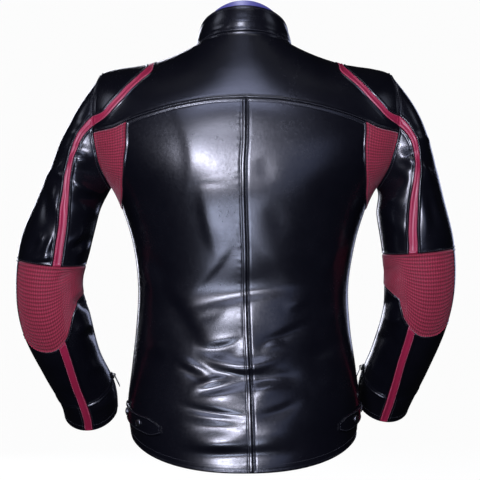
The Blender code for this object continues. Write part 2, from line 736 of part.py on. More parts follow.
# ---- seams shared by the pieces, in body coordinates, the same on both sides ----
plain = Body("left")
yoke_back = spaced(plain, YOKE_SEAM_BACK, BACK_STEPS)
yoke_side = spaced(plain, YOKE_SEAM_SIDE, 2)
princess = spaced(plain, PRINCESS_SEAM, PRINCESS_STEPS)
stripe_in = spaced(plain, STRIPE_INNER, STRIPE_STEPS)
stripe_out = spaced(plain, STRIPE_OUTER, STRIPE_STEPS)
shoulder_in = spaced(plain, SHOULDER_SEAM_INNER, SHOULDER_STEPS)
shoulder_out = spaced(plain, SHOULDER_SEAM_OUTER, CAP_STEPS)
side_seam = spaced(plain, [(0.0, 0.0), (0.0, 3.2), (0.0, 6.35)], SIDE_STEPS)
underarm = spaced(plain, [(0.0, 6.35), (0.0, 7.15)], UNDERARM_STEPS)

# turns of the armhole at which pieces of the body and of the sleeve share points
under_turns = np.linspace(-90.0, 8.0, PRINCESS_STEPS + 1)
stripe_turns = np.array([15.5, 25.5])
cap_turns = np.linspace(25.5, ARMHOLE_TOP_DEG, STRIPE_STEPS + 1)
front_turns = np.append(np.linspace(ARMHOLE_TOP_DEG, 270.0 - ARMHOLE_LAST_STEP_DEG,
                                    ARMHOLE_FRONT_STEPS), 270.0)
ring_turns = np.concatenate([under_turns, stripe_turns, cap_turns[1:], front_turns[1:]])
yoke_side[-1] = armhole(8.0)
stripe_in[0] = armhole(15.5)
stripe_out[0] = armhole(25.5)
shoulder_out[-1] = armhole(ARMHOLE_TOP_DEG)
underarm[-1] = armhole(-90.0)

neck_back = np.stack([np.linspace(90.0, -16.0, NECK_BACK_STEPS + 1),
                      np.full(NECK_BACK_STEPS + 1, NECK_LEVEL)], axis=-1)


def front_edge_angle(level):
    half_width = column(between(TORSO, level), TORSO_COLUMNS, "half_width")
    return -90.0 + np.degrees(FRONT_ZIP_HALF_WIDTH / half_width)


front_rows = (SIDE_STEPS + UNDERARM_STEPS + ARMHOLE_FRONT_STEPS + CAP_STEPS + 1
              + SHOULDER_STEPS)
centre_levels = np.linspace(0, NECK_LEVEL, 61)
centre_line = spaced(plain, [(-90.0, level) for level in centre_levels], front_rows)
front_edge = np.stack([front_edge_angle(centre_line[:, 1]), centre_line[:, 1]], axis=-1)
neck_front = np.stack([np.linspace(front_edge[-1, 0], -16.0, NECK_FRONT_STEPS + 1),
                       np.full(NECK_FRONT_STEPS + 1, NECK_LEVEL)], axis=-1)
centre_back_levels = np.linspace(0, YOKE_SEAM_BACK[0][1], 41)
centre_back = spaced(plain, [(90.0, level) for level in centre_back_levels],
                     SIDE_STEPS + PRINCESS_STEPS)
centre_yoke = spaced(plain, [(90.0, 10.26), (90.0, 11.0), (90.0, 12.0)],
                     1 + STRIPE_STEPS + SHOULDER_STEPS)
hem_back_angles = np.linspace(90.0, 0.0, BACK_STEPS + 1)
hem_back = np.stack([hem_back_angles, np.zeros(BACK_STEPS + 1)], axis=-1)
hem_front_angles = np.linspace(front_edge[0, 0], 0.0, FRONT_STEPS + 1)
hem_front = np.stack([hem_front_angles, np.zeros(FRONT_STEPS + 1)], axis=-1)

collar_turns = np.concatenate([
    [-90.0 + math.degrees(COLLAR_END / TORSO[-1, 1])], neck_front[:, 0],
    neck_back[::-1, 0][1:]])

# ---- directions of the walls at the armholes and at the neck ----
sleeves = {side: Sleeve(side) for side in ("left", "right")}
for side, sleeve in sleeves.items():
    body = sleeve.body
    seam = armhole(ring_turns)
    meet(body.point(seam[:, 0], seam[:, 1]), body.out(seam[:, 0], seam[:, 1]),
         sleeve.out(ring_turns, np.zeros(len(ring_turns))))
    collar = Collar(side)
    levels = np.full(len(collar_turns), NECK_LEVEL)
    meet(body.point(collar_turns, levels), body.out(collar_turns, levels),
         collar.out(collar_turns, levels * 0))

# ---- body panels ----
yoke_blocks, collar_blocks, lining_blocks = [], [], []
body_grids = {}
for side in ("left", "right"):
    body = Body(side)
    collar = Collar(side)
    stripe_end = np.stack([stripe_in[-1], stripe_out[-1]])
    stripe_start = armhole(stripe_turns)

    back_grid = block(body, filled(hem_back, yoke_back, centre_back,
                                   joined(side_seam, princess)))
    wall_piece(f"back_{side}", [back_grid], BLACK_LEATHER)

    side_grid = block(body, filled(underarm, yoke_side, princess,
                                   armhole(under_turns)))
    ribbed_piece(f"side_panel_{side}", *side_grid, RED_MESH)

    yoke_end = joined(np.stack([armhole(8.0), armhole(15.5)]), stripe_in,
                      shoulder_in[::-1])
    yoke_blocks.append(block(body, filled(joined(yoke_back, yoke_side), neck_back,
                                          centre_yoke, yoke_end, YOKE_RELAX)))

    stripe_grid = block(body, filled(stripe_start, stripe_end, stripe_in, stripe_out))
    wall_piece(f"shoulder_stripe_{side}", [stripe_grid], RED_LEATHER)

    cap_tip = np.repeat(stripe_out[:1], CAP_STEPS + 1, axis=0)
    cap_grid = block(body, filled(cap_tip, shoulder_out, stripe_out, armhole(cap_turns)))
    wall_piece(f"shoulder_cap_{side}", [cap_grid], BLACK_LEATHER)

    front_side = joined(side_seam, underarm, armhole(front_turns[::-1]),
                        shoulder_out[::-1], stripe_end[::-1], shoulder_in[::-1])
    front_grid = block(body, filled(hem_front, neck_front, front_edge, front_side,
                                    FRONT_RELAX))
    wall_piece(f"front_{side}", [front_grid], BLACK_LEATHER)
    body_grids[side] = (front_grid, back_grid)

    tape_grid = block(body, np.stack([centre_line, front_edge], axis=1))
    wall_piece(f"front_zip_tape_{side}", [tape_grid], ZIP_TAPE, TAPE_WALL, 0.0004)

    levels = np.linspace(0, len(COLLAR) - 1, 4)
    domain = np.stack(np.meshgrid(collar_turns, levels), axis=-1)
    points, away = block(collar, domain)
    collar_blocks.append((points, away))
    inside, inward = points.copy(), away.copy()
    inside[0] += (points[1] - points[0]) * LINING_STARTS_AT
    inward[0] += (away[1] - away[0]) * LINING_STARTS_AT
    inside = inside - inward * (LEATHER_WALL + SEAM_GAP)
    rim = np.clip(1 - (inside[-1, :, 0] / LINING_RIM_HALF_WIDTH) ** 2, 0, 1)
    rim = np.where(inside[-1, :, 1] > 0, rim, 0) * LINING_RIM
    raised = inside[-1] + np.outer(np.maximum(rim, LINING_RIM_LEAST), (0, 0, 1))
    lining_blocks.append((np.vstack([inside, raised[None]]),
                          np.vstack([inward, inward[-1:]])))
wall_piece("back_yoke", yoke_blocks, BLACK_LEATHER)
wall_piece("collar", collar_blocks, BLACK_LEATHER)
wall_piece("collar_lining", lining_blocks, VIOLET_LINING, LINING_WALL)

# ---- sleeves ----
under_count = len(under_turns)
stripe_column = under_count
cap_column = stripe_column + 1
top_column = cap_column + STRIPE_STEPS
patch_column = cap_column + 3
last_column = len(ring_turns) - 1
for side, sleeve in sleeves.items():
    top, low = ELBOW[side]
    stops = {"top": top, "low": low, "zip": CUFF_ZIP_TOP[side]}
    stations = []
    for start, stop, count in SLEEVE_STEPS:
        first, final = (stops.get(name, name) for name in (start, stop))
        stations.append(np.linspace(first, final, count + 1)[:-1])
    stations = np.append(np.concatenate(stations), CUFF_STATION)
    row_of = {}
    row = 0
    for start, stop, count in SLEEVE_STEPS:
        row_of[start] = row
        row += count
    row_of["cuff"] = row
    grid_turns = np.empty((len(stations), len(ring_turns)))
    for r, station in enumerate(stations):
        centre, half = sleeve.stripe(station)
        opened = CUFF_ZIP_OPEN_DEG * np.clip(
            (station - stops["zip"]) / (CUFF_STATION - stops["zip"]), 0, 1)
        knots = [-90.0, 15.5, 25.5, ARMHOLE_TOP_DEG, 270.0]
        moved = [-90.0 + opened, centre - half, centre + half, ARMHOLE_TOP_DEG,
                 270.0 - opened]
        grid_turns[r] = np.interp(ring_turns, knots, moved)
    grid_stations = np.repeat(stations[:, None], len(ring_turns), axis=1)
    upper_row, low_row, zip_row = row_of["top"], row_of["low"], row_of["zip"]
    patch_turns = grid_turns[low_row, :patch_column + 1]
    lifted = between(LOW_SEAM_LIFT, (patch_turns + 90) / LIFT_STEP_DEG)[:, 0]
    rest = np.linspace(0, 1, last_column - patch_column + 1)[1:]
    lifts = np.concatenate([lifted, lifted[-1] * (1 - rest) ** 4 + lifted[0] * rest ** 4])
    for r in range(upper_row, zip_row):
        reach = low - top if r < low_row else stops["zip"] - low
        grid_stations[r] -= lifts * (1 - abs(stations[r] - low) / reach)
    points, away = block(sleeve, np.stack([grid_turns, grid_stations], axis=-1))

    def part(rows, columns):
        return points[rows[0]:rows[1] + 1, columns[0]:columns[1] + 1], away[
            rows[0]:rows[1] + 1, columns[0]:columns[1] + 1]

    cuff_row = row_of["cuff"]
    wall_piece(f"upper_sleeve_outer_{side}",
               [part((0, upper_row), (cap_column, last_column))], BLACK_LEATHER)
    wall_piece(f"upper_sleeve_under_{side}",
               [part((0, upper_row), (0, stripe_column))], BLACK_LEATHER)
    wall_piece(f"upper_sleeve_stripe_{side}",
               [part((0, upper_row), (stripe_column, cap_column))], RED_LEATHER)
    ribbed_piece(f"elbow_patch_{side}",
                 *part((upper_row, low_row), (0, patch_column)), RED_MESH)
    wall_piece(f"forearm_outer_{side}",
               [part((upper_row, low_row), (patch_column, last_column)),
                part((low_row, zip_row), (cap_column, last_column)),
                part((zip_row, cuff_row), (cap_column, last_column - 1))], BLACK_LEATHER)
    wall_piece(f"forearm_under_{side}",
               [part((low_row, zip_row), (0, stripe_column)),
                part((zip_row, cuff_row), (1, stripe_column))], BLACK_LEATHER)
    wall_piece(f"forearm_stripe_{side}",
               [part((low_row, cuff_row), (stripe_column, cap_column))], RED_LEATHER)
    wall_piece(f"cuff_zip_tape_back_{side}",
               [part((zip_row, cuff_row), (0, 1))], ZIP_TAPE, TAPE_WALL, 0.0004)
    wall_piece(f"cuff_zip_tape_front_{side}",
               [part((zip_row, cuff_row), (last_column - 1, last_column))], ZIP_TAPE,
               TAPE_WALL, 0.0004)

    tip, tip_away = points[zip_row, 0], away[zip_row, 0]
    down = points[zip_row + 1, 0] + points[zip_row + 1, last_column] - 2 * tip
    place = frame_at(tip + unit(tip_away) * SLIDER_LIFT, down, tip_away)
    zip_end(f"cuff_zip_{side}", place)

# ---- slider at the top of the closed front zip ----
tip = plain.point(np.array(-90.0), np.array(FRONT_SLIDER_LEVEL))
tip_away = plain.out(np.array(-90.0), np.array(FRONT_SLIDER_LEVEL))
lower = plain.point(np.array(-90.0), np.array(FRONT_SLIDER_LEVEL - 0.2))
zip_end("front_zip", frame_at(tip + tip_away * SLIDER_LIFT, lower - tip, tip_away))

# ---- hem adjusters, laid on the body across the side seams ----
for side, (front_grid, back_grid) in body_grids.items():
    band = []
    for number in (0, 1):
        front_values = front_grid[number][:SIDE_STEPS + 1]
        back_values = back_grid[number][:SIDE_STEPS + 1]
        band.append(np.concatenate([front_values, back_values[:, ::-1][:, 1:]], axis=1))
    seam_column = FRONT_STEPS
    first = seam_column - STRAP_FRONT_COLUMNS
    final = seam_column + STRAP_BACK_COLUMNS
    stops = sorted({first, final, final - 0.5} | set(
        range(math.ceil(first), math.floor(final) + 1)))
    low_row, high_row = STRAP_ROWS
    middle_row = (low_row + high_row) / 2
    grids = []
    for values in band:
        grid = []
        for row in (low_row, middle_row, high_row):
            line = []
            for stop in stops:
                narrowed = row
                if stop > final - 0.2:
                    narrowed = row + (middle_row - row) * 2 * STRAP_TAPER
                line.append(grid_at(values, narrowed, stop))
            grid.append(line)
        grids.append(np.array(grid))
    strap_points, strap_away = grids
    strap_away = unit(strap_away)
    lift = LAY_GAP + STRAP_WALL
    wall_piece(f"hem_strap_{side}", [(strap_points + strap_away * lift, strap_away)],
               BLACK_LEATHER, STRAP_WALL)
    for label, columns in CAP_PLACES:
        centre = grid_at(band[0], middle_row, seam_column + columns)
        away = unit(grid_at(band[1], middle_row, seam_column + columns))
        snap_cap(f"hem_snap_{label}_{side}", centre + away * (lift + LAY_GAP), away)
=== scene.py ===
"""Looks of a leather motorcycle jacket with red stripes and ribbed panels.

Metres, +Z up. The front faces -Y and the wearer's left is +X, as in the frame. Every
cut piece is a thin shell on the form of its solid, with its creases, seams and sewing.
"""
import math

import bmesh
import bpy
import numpy as np
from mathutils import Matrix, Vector
from mathutils.kdtree import KDTree


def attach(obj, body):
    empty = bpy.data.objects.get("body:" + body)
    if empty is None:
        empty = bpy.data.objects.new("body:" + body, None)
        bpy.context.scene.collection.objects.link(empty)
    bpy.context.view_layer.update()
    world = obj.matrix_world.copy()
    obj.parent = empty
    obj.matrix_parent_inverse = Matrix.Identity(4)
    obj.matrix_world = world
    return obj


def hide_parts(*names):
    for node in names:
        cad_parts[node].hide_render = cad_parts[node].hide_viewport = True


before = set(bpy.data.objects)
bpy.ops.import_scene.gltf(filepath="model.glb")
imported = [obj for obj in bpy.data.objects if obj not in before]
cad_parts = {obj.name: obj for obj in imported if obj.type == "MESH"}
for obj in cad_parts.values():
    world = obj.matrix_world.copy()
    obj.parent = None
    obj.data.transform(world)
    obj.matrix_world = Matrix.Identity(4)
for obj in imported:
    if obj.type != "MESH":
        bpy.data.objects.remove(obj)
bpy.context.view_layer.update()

# ---- studio ----
# A camera behind the jacket at the height of its middle, a pale bowl-shaped floor that
# closes the view all round, and soft lamps. None of it belongs to the jacket.
CAMERA_AWAY = 3.30
CAMERA_LEFT = 0.006
CAMERA_HEIGHT = -0.2965
VIEW_WIDTH = 0.7296
SENSOR = 0.036
VIEW_END = 60.0
FLOOR_Z = -0.95
BOWL_RADIUS = 9.0
BOWL_BEND = 3.0
BOWL_HEIGHT = 9.0
BOWL_TOP_RISE = 1.0
BOWL_BEND_STEPS = 12
BOWL_SIDES = 64
BOWL_MERGE = 0.001
BOWL_GLOW = 0.97
AIR_GLOW = 0.008
AIR_COLOUR = (0.85, 0.9, 1.0, 1)
LAMP_AIM = (0.0, 0.0, -0.28)

eye = bpy.data.cameras.new("eye")
eye.sensor_width = SENSOR * 1000
eye.lens = SENSOR * 1000 * CAMERA_AWAY / VIEW_WIDTH
eye.clip_end = VIEW_END
eye.dof.use_dof = False
camera = bpy.data.objects.new("camera", eye)
camera.location = (CAMERA_LEFT, CAMERA_AWAY, CAMERA_HEIGHT)
camera.rotation_euler = (math.radians(90), 0, math.radians(180))
bpy.context.scene.collection.objects.link(camera)
bpy.context.scene.camera = camera
bpy.context.scene.view_settings.view_transform = "Standard"


def bowl():
    """Floor that bends up into a round wall and closes over the top."""
    profile = [(0.0, FLOOR_Z), (BOWL_RADIUS - BOWL_BEND, FLOOR_Z)]
    for k in range(1, BOWL_BEND_STEPS + 1):
        turn = math.radians(90 * k / BOWL_BEND_STEPS)
        profile.append((BOWL_RADIUS - BOWL_BEND + BOWL_BEND * math.sin(turn),
                        FLOOR_Z + BOWL_BEND * (1 - math.cos(turn))))
    profile.append((BOWL_RADIUS, FLOOR_Z + BOWL_HEIGHT))
    profile.append((0.0, FLOOR_Z + BOWL_HEIGHT + BOWL_TOP_RISE))
    shape = bmesh.new()
    line = [shape.verts.new((r, 0, z)) for r, z in profile]
    edges = [shape.edges.new(pair) for pair in zip(line[:-1], line[1:])]
    bmesh.ops.spin(shape, geom=line + edges, cent=(0, 0, 0), axis=(0, 0, 1),
                   steps=BOWL_SIDES, angle=2 * math.pi, use_duplicate=False)
    bmesh.ops.remove_doubles(shape, verts=shape.verts, dist=BOWL_MERGE)
    mesh = bpy.data.meshes.new("floor")
    shape.to_mesh(mesh)
    shape.free()
    mesh.shade_smooth()
    floor = bpy.data.objects.new("floor", mesh)
    bpy.context.scene.collection.objects.link(floor)
    pale = bpy.data.materials.new("pale_floor")
    pale.use_nodes = True
    shader = pale.node_tree.nodes["Principled BSDF"]
    shader.inputs["Base Color"].default_value = (0.02, 0.02, 0.02, 1)
    shader.inputs["Roughness"].default_value = 1.0
    shader.inputs["Emission Color"].default_value = (1, 1, 1, 1)
    shader.inputs["Emission Strength"].default_value = BOWL_GLOW
    mesh.materials.append(pale)
    floor.visible_glossy = False
    floor.visible_diffuse = False
    floor.visible_shadow = False


def lamp(name, place, size, watts, colour):
    """A soft lamp, turned to the middle of the jacket."""
    light = bpy.data.lights.new(name, "AREA")
    light.shape = "RECTANGLE"
    light.size, light.size_y = size
    light.energy = watts
    light.color = colour
    thing = bpy.data.objects.new(name, light)
    thing.location = place
    away = Vector(place) - Vector(LAMP_AIM)
    thing.rotation_euler = away.to_track_quat("Z", "Y").to_euler()
    thing.visible_camera = False
    bpy.context.scene.collection.objects.link(thing)


bowl()
air = bpy.data.worlds.new("air")
air.use_nodes = True
air.node_tree.nodes["Background"].inputs["Color"].default_value = AIR_COLOUR
air.node_tree.nodes["Background"].inputs["Strength"].default_value = AIR_GLOW
bpy.context.scene.world = air
# columns: place, width and height, watts, colour
LAMPS = {
    "key": ((0.43, 3.14, 0.62), (0.56, 0.62), 32, (0.76, 0.79, 1.0)),
    "key_low": ((0.43, 3.14, 0.12), (0.56, 0.38), 64, (0.80, 0.81, 1.0)),
    "key_foot": ((0.28, 3.11, -1.14), (0.80, 0.50), 32, (0.66, 0.73, 1.0)),
    "fill_right": ((-0.86, 3.10, 0.00), (1.00, 1.30), 4.5, (0.46, 0.56, 1.0)),
    "high": ((0.20, 2.75, 1.85), (1.40, 0.70), 28, (0.62, 0.68, 1.0)),
    "side_left": ((2.40, 0.70, 1.60), (0.80, 0.80), 6, (0.75, 0.8, 1.0)),
    "side_right": ((-2.40, 0.70, 1.60), (0.80, 0.80), 3, (0.70, 0.77, 1.0)),
    "front_left": ((0.9, -3.1, 0.3), (0.9, 1.6), 26, (0.82, 0.84, 1.0)),
    "front_right": ((-1.4, -2.9, 0.2), (0.8, 1.5), 8, (0.62, 0.68, 1.0)),
    "top": ((0.0, 0.9, 2.4), (1.4, 0.7), 12, (0.85, 0.88, 1.0)),
}
for name, row in LAMPS.items():
    lamp(name, *row)

# ---- back panels ----
# Two panels of black cowhide below the yoke, sewn together down the middle of the back
# with a felled seam turned to the wearer's left. They carry the deepest creases.
WALL = 0.0018
PITCH = 0.0029
LEAST_CUT = 0.0100
MERGE_CELLS = 2e5
CLOTH_SHARP_DEG = 50
EDGE_ROLL = 0.0008
EDGE_ROLL_WIDTH = 0.0007
SEAM_RIDGE = 0.0008
RIDGE_FROM_SEAM = 0.0024
RIDGE_HALF_WIDTH = 0.0013
GROOVE_DEPTH = 0.0003
GROOVE_FROM_SEAM = 0.0048
GROOVE_HALF_WIDTH = 0.0009
OWN_FORM_FROM_SEAM = (0.0006, 0.0024)
WELT_WIDTH = 0.0062
WELT_HEIGHT = 0.0005
WELT_EDGE = 0.0008
WELT_GROOVE_DEPTH = 0.0006
WELT_GROOVE_HALF_WIDTH = 0.0007
PUCKER = 0.00022
PUCKER_PITCH = 0.0105
PUCKER_FROM_WELT = 0.0030
PUCKER_HALF_WIDTH = 0.0030
# how the puckers' places drift along the seam; columns: radians a metre, start
PUCKER_DRIFT = ((310.0, 0.0), (517.0, 1.3))
TORSO_COLUMNS = ("side_z", "half_width", "back_y", "back_z", "front_y", "front_z",
                 "squareness", "dip", "shift_x")
TORSO = np.array([
    (-0.590, 0.1700, 0.128, -0.638, -0.118, -0.602, 2.30, 1.4, 0.000),
    (-0.545, 0.1750, 0.126, -0.575, -0.119, -0.552, 2.30, 1.2, 0.000),
    (-0.490, 0.1690, 0.116, -0.505, -0.117, -0.495, 2.30, 1.2, 0.000),
    (-0.430, 0.1615, 0.102, -0.436, -0.116, -0.432, 2.30, 1.2, 0.001),
    (-0.370, 0.1585, 0.097, -0.372, -0.118, -0.372, 2.30, 1.2, 0.001),
    (-0.315, 0.1650, 0.103, -0.315, -0.124, -0.315, 2.35, 1.2, 0.000),
    (-0.268, 0.1770, 0.110, -0.268, -0.129, -0.268, 2.40, 1.2, 0.000),
    (-0.222, 0.1965, 0.115, -0.225, -0.131, -0.226, 2.45, 1.2, 0.000),
    (-0.172, 0.2330, 0.115, -0.183, -0.131, -0.190, 2.50, 1.2, -0.001),
    (-0.112, 0.2480, 0.112, -0.145, -0.127, -0.160, 2.40, 1.2, -0.003),
    (-0.048, 0.2250, 0.105, -0.100, -0.116, -0.125, 2.20, 1.2, -0.003),
    (-0.028, 0.1420, 0.088, -0.045, -0.098, -0.092, 2.10, 1.2, -0.003),
    (-0.006, 0.0735, 0.064, 0.016, -0.074, -0.062, 2.00, 1.4, 0.000),
])
NECK_LEVEL = 12.0
HEM_TWIST_DEG = 4.5
TWIST_ENDS_AT_LEVEL = 8.0
TWIST_EASE = 1.3
ARMHOLE_HALF_TURN_DEG = 29.0
ARMHOLE_LEVEL = 8.62
ARMHOLE_HALF_LEVELS = 1.47
UNDERARM_DEG = -90.0
YOKE_END_DEG = 8.0
DEGREES_A_LEVEL = 20
ON_SEAM_DEG = 0.02
ON_SEAM = 1e-6
LEAST_MITRE = 0.62
SEAM_SAMPLES = 60
ARMHOLE_SAMPLES = 24
CENTRE_SAMPLES = 41

# seams; columns: angle in degrees (0 side, 90 back, -90 front), level above the hem
YOKE_SEAM_BACK = [(90.0, 10.26), (76.5, 10.19), (64.5, 9.96), (53.3, 9.58), (46.5, 9.30)]
YOKE_SEAM_SIDE = [(46.5, 9.30), (40.2, 9.05), (28.7, 8.82)]
PRINCESS_SEAM = [(0.0, 6.35), (20.2, 6.73), (31.9, 7.21), (40.6, 7.69), (45.1, 8.18),
                 (47.3, 8.70), (46.5, 9.30)]
SIDE_SEAM = [(0.0, 0.0), (0.0, 3.2), (0.0, 6.35)]

# creases seen from behind, in millimetres; columns: both ends (x, z), how far the middle
# bows to the left of the line, height (+ ridge, - trough), half width, and how much
# softer the side is that lies to the left of the line
BACK_CREASES = [
    # below the yoke: the left edge of the shoulder blade's swelling, the thin wrinkle
    # under it and the left edge of the slope below
    (104, -98, 84, -236, -16, 1.2, 28, -0.60),
    (92, -219, 14, -214, -3, -0.2, 4.0, 0.5),
    (64, -206, 38, -326, 3, 1.7, 24, -0.60),
    (80, -384, 6, -300, 6, -1.3, 13, 0.8),
    (2, -302, -64, -366, -4, -1.1, 14, 0.4),
    # soft hollows on the right half
    (-24, -172, -44, -214, 3, -0.6, 14, 0.0),
    (-34, -244, -66, -292, 0, -0.9, 15, 0.0),
    # hollow of the waist, steep below, where the broad swelling starts
    (130, -410, -116, -360, -10, -5.2, 23, -0.4),
    (98, -436, -36, -436, 4, 2.7, 20, 0.0),
    (90, -410, 26, -398, 6, -1.1, 8, 0.0),
    (-58, -398, -100, -378, 2, 1.7, 8, 0.0),
    # long slanting trough on the left of the swelling
    (148, -352, 60, -468, -6, -4.7, 15, 0.3),
    # trough under the swelling, then a long one to the right
    (76, -456, -2, -441, 7, -3.6, 9, 0.4),
    (-14, -452, -106, -414, 3, -2.8, 8, 0.2),
    (-26, -462, -62, -448, -4, 1.4, 7, 0.0),
    # crescent across the seam and the dark band under it
    (68, -466, -68, -462, 20, 3.1, 9, -0.2),
    (80, -474, -84, -490, 16, -3.9, 11, 0.3),
    # streaks on the left
    (106, -466, 46, -493, 2, 2.2, 7, 0.3),
    (102, -480, 50, -502, 2, -2.5, 7, 0.0),
    (82, -515, 4, -497, -3, 2.0, 7, 0.4),
    (78, -524, -4, -504, -3, -2.5, 7, 0.2),
    # right half: a hollow, then a slanting ridge
    (-8, -500, -96, -494, 4, -2.5, 13, 0.0),
    (-6, -530, -70, -500, -4, 2.5, 12, 0.3),
    # broad band, thin trough and thin ridge under it
    (98, -524, -6, -524, 4, 2.0, 12, 0.3),
    (106, -535, -14, -555, 4, -2.4, 5.6, 0.4),
    (-10, -556, -88, -530, 5, -2.5, 8, 0.2),
    (100, -549, 0, -558, 3, 1.3, 5, 0.3),
    (90, -566, -4, -570, 3, -1.7, 10, 0.0),
    # last swelling above the hem, with a sharp lower edge
    (100, -592, -8, -594, 3, 2.8, 12, -0.3),
    (-8, -590, -88, -576, -3, 1.5, 13, 0.3),
    (104, -611, -94, -605, 3, -3.4, 11, 0.2),
    # fullness on the left of the creases
    (102, -372, 96, -604, 4, 2.2, 30, 0.0),
    # sides of the waist
    (160, -325, 124, -395, -4, 3.0, 12, 0.0),
    (150, -312, 112, -366, -3, -2.4, 12, 0.0),
    (-150, -300, -118, -352, 4, 2.2, 12, 0.0),
    (-156, -392, -104, -420, -4, 2.0, 12, 0.0),
    (-148, -440, -92, -470, -3, -2.0, 12, 0.0),
    (146, -452, 104, -472, -3, 1.8, 12, 0.0),
    (-140, -505, -96, -520, -3, 2.0, 12, 0.0),
]
FRONT_CREASES = [
    (150, -250, 60, -300, -8, 3.2, 12, 0.0),
    (-150, -255, -55, -292, 8, 3.0, 12, 0.0),
    (160, -285, 78, -335, -6, -2.8, 9, 0.0),
    (-158, -300, -66, -330, 6, -2.6, 9, 0.0),
    (152, -345, 40, -366, -8, 3.8, 8, 0.2),
    (-152, -352, -42, -372, 8, 3.6, 8, 0.2),
    (148, -372, 56, -388, -7, -3.4, 7, 0.0),
    (-148, -384, -36, -394, 7, -3.2, 7, 0.0),
    (140, -402, 24, -410, -8, 3.6, 8, 0.3),
    (-138, -414, -28, -416, 6, 3.0, 8, 0.3),
    (134, -430, 60, -440, -5, -3.0, 7, 0.0),
    (-130, -446, -50, -440, 5, -2.6, 7, 0.0),
    (150, -468, 50, -500, -6, 3.2, 10, 0.0),
    (-150, -478, -52, -496, 6, 3.0, 10, 0.0),
    (120, -530, 40, -545, -4, 2.2, 10, 0.0),
    (-124, -525, -30, -548, 4, 2.4, 10, 0.0),
    (190, -140, 120, -190, 6, 2.4, 14, 0.0),
    (-190, -142, -118, -196, -6, 2.6, 14, 0.0),
    (205, -190, 150, -232, 5, -3.0, 9, 0.0),
    (-205, -188, -150, -236, -5, -3.0, 9, 0.0),
]
# how far a wall has to face the view for a crease drawn in it to be whole, and to start
FACING = 0.35
FACING_FROM = -0.1
CREASE_SPAN = 0.96
CREASE_START = 0.02
CREASE_END_EASE = 1.4


def crease_height(across, up, creases):
    """Height of the listed creases at points of the view that they are drawn in."""
    height = np.zeros(np.shape(across))
    for x1, z1, x2, z2, bow, tall, width, softer in np.array(creases) * (
            1e-3, 1e-3, 1e-3, 1e-3, 1e-3, 1e-3, 1e-3, 1):
        length = math.hypot(x2 - x1, z2 - z1)
        dx, dz = (x2 - x1) / length, (z2 - z1) / length
        run = ((across - x1) * dx + (up - z1) * dz) / length
        inside = np.clip(run, 0, 1)
        aside = -(across - x1) * dz + (up - z1) * dx - 4 * bow * inside * (1 - inside)
        beyond = (run - inside) * length
        fade = np.sin(math.pi * np.clip(run * CREASE_SPAN + CREASE_START, 0, 1))
        spread = width * np.where(aside > 0, 1 + softer, 1 - softer * 0.5)
        height += (tall * fade ** CREASE_END_EASE
                   * np.exp(-(aside / spread) ** 2 - (beyond / width) ** 2))
    return height


def between(rows, at):
    """Smooth values of a table's rows at fractional row numbers."""
    at = np.asarray(at, float)
    extended = np.vstack([2 * rows[0] - rows[1], rows, 2 * rows[-1] - rows[-2]])
    first = np.clip(np.floor(at).astype(int), 0, len(rows) - 2)
    part = (at - first)[..., None]
    a, b, c, d = (extended[first + k] for k in range(4))
    return 0.5 * (2 * b + (c - a) * part + (2 * a - 5 * b + 4 * c - d) * part ** 2
                  + (3 * b - a - 3 * c + d) * part ** 3)


def unit(vectors):
    return vectors / np.linalg.norm(vectors, axis=-1, keepdims=True)


def smooth(low, high, value):
    """Eased share, from 0 at low to 1 at high."""
    part = np.clip((value - low) / (high - low), 0, 1)
    return part * part * (3 - 2 * part)


def bell(value, middle, half_width):
    """Soft swelling of height 1 about a middle."""
    return np.exp(-((value - middle) / half_width) ** 2)


def summed(lengths):
    """Distance travelled at each point of a line, from the lengths between them."""
    return np.concatenate([[0], np.cumsum(lengths)])


def ring_point(values, angle, mirror):
    """Point of a tilted ring at an angle in degrees, the right side mirrored."""
    (side_z, half_width, back_y, back_z, front_y, front_z, squareness, dip,
     shift_x) = np.moveaxis(values, -1, 0)
    cosine = np.cos(np.radians(angle))
    sine = np.sin(np.radians(angle))
    size = (abs(cosine) ** squareness + abs(sine) ** squareness) ** (1 / squareness)
    behind = sine > 0
    reach = np.where(behind, back_y, -front_y)
    rise = np.where(behind, back_z, front_z) - side_z
    return np.stack([shift_x + mirror * half_width * cosine / size, reach * sine / size,
                     side_z + rise * (abs(sine) / size) ** dip], axis=-1)


class Surface:
    """A surface of two coordinates, with creases raised on its plain form."""

    back_creases, front_creases = BACK_CREASES, FRONT_CREASES

    def out(self, first, second):
        step = self.step
        across = self.base(first + step, second) - self.base(first - step, second)
        up = self.base(first, second + step) - self.base(first, second - step)
        return unit(np.cross(across, up) * self.turned)

    def raised(self, place, away):
        x, y, z = np.moveaxis(place, -1, 0)
        behind = smooth(FACING_FROM, FACING, away[..., 1])
        before = smooth(FACING_FROM, FACING, -away[..., 1])
        height = (crease_height(x, z, self.back_creases) * behind
                  + crease_height(x, z, self.front_creases) * before)
        return place + away * height[..., None]

    def point(self, first, second):
        return self.raised(self.base(first, second), self.out(first, second))


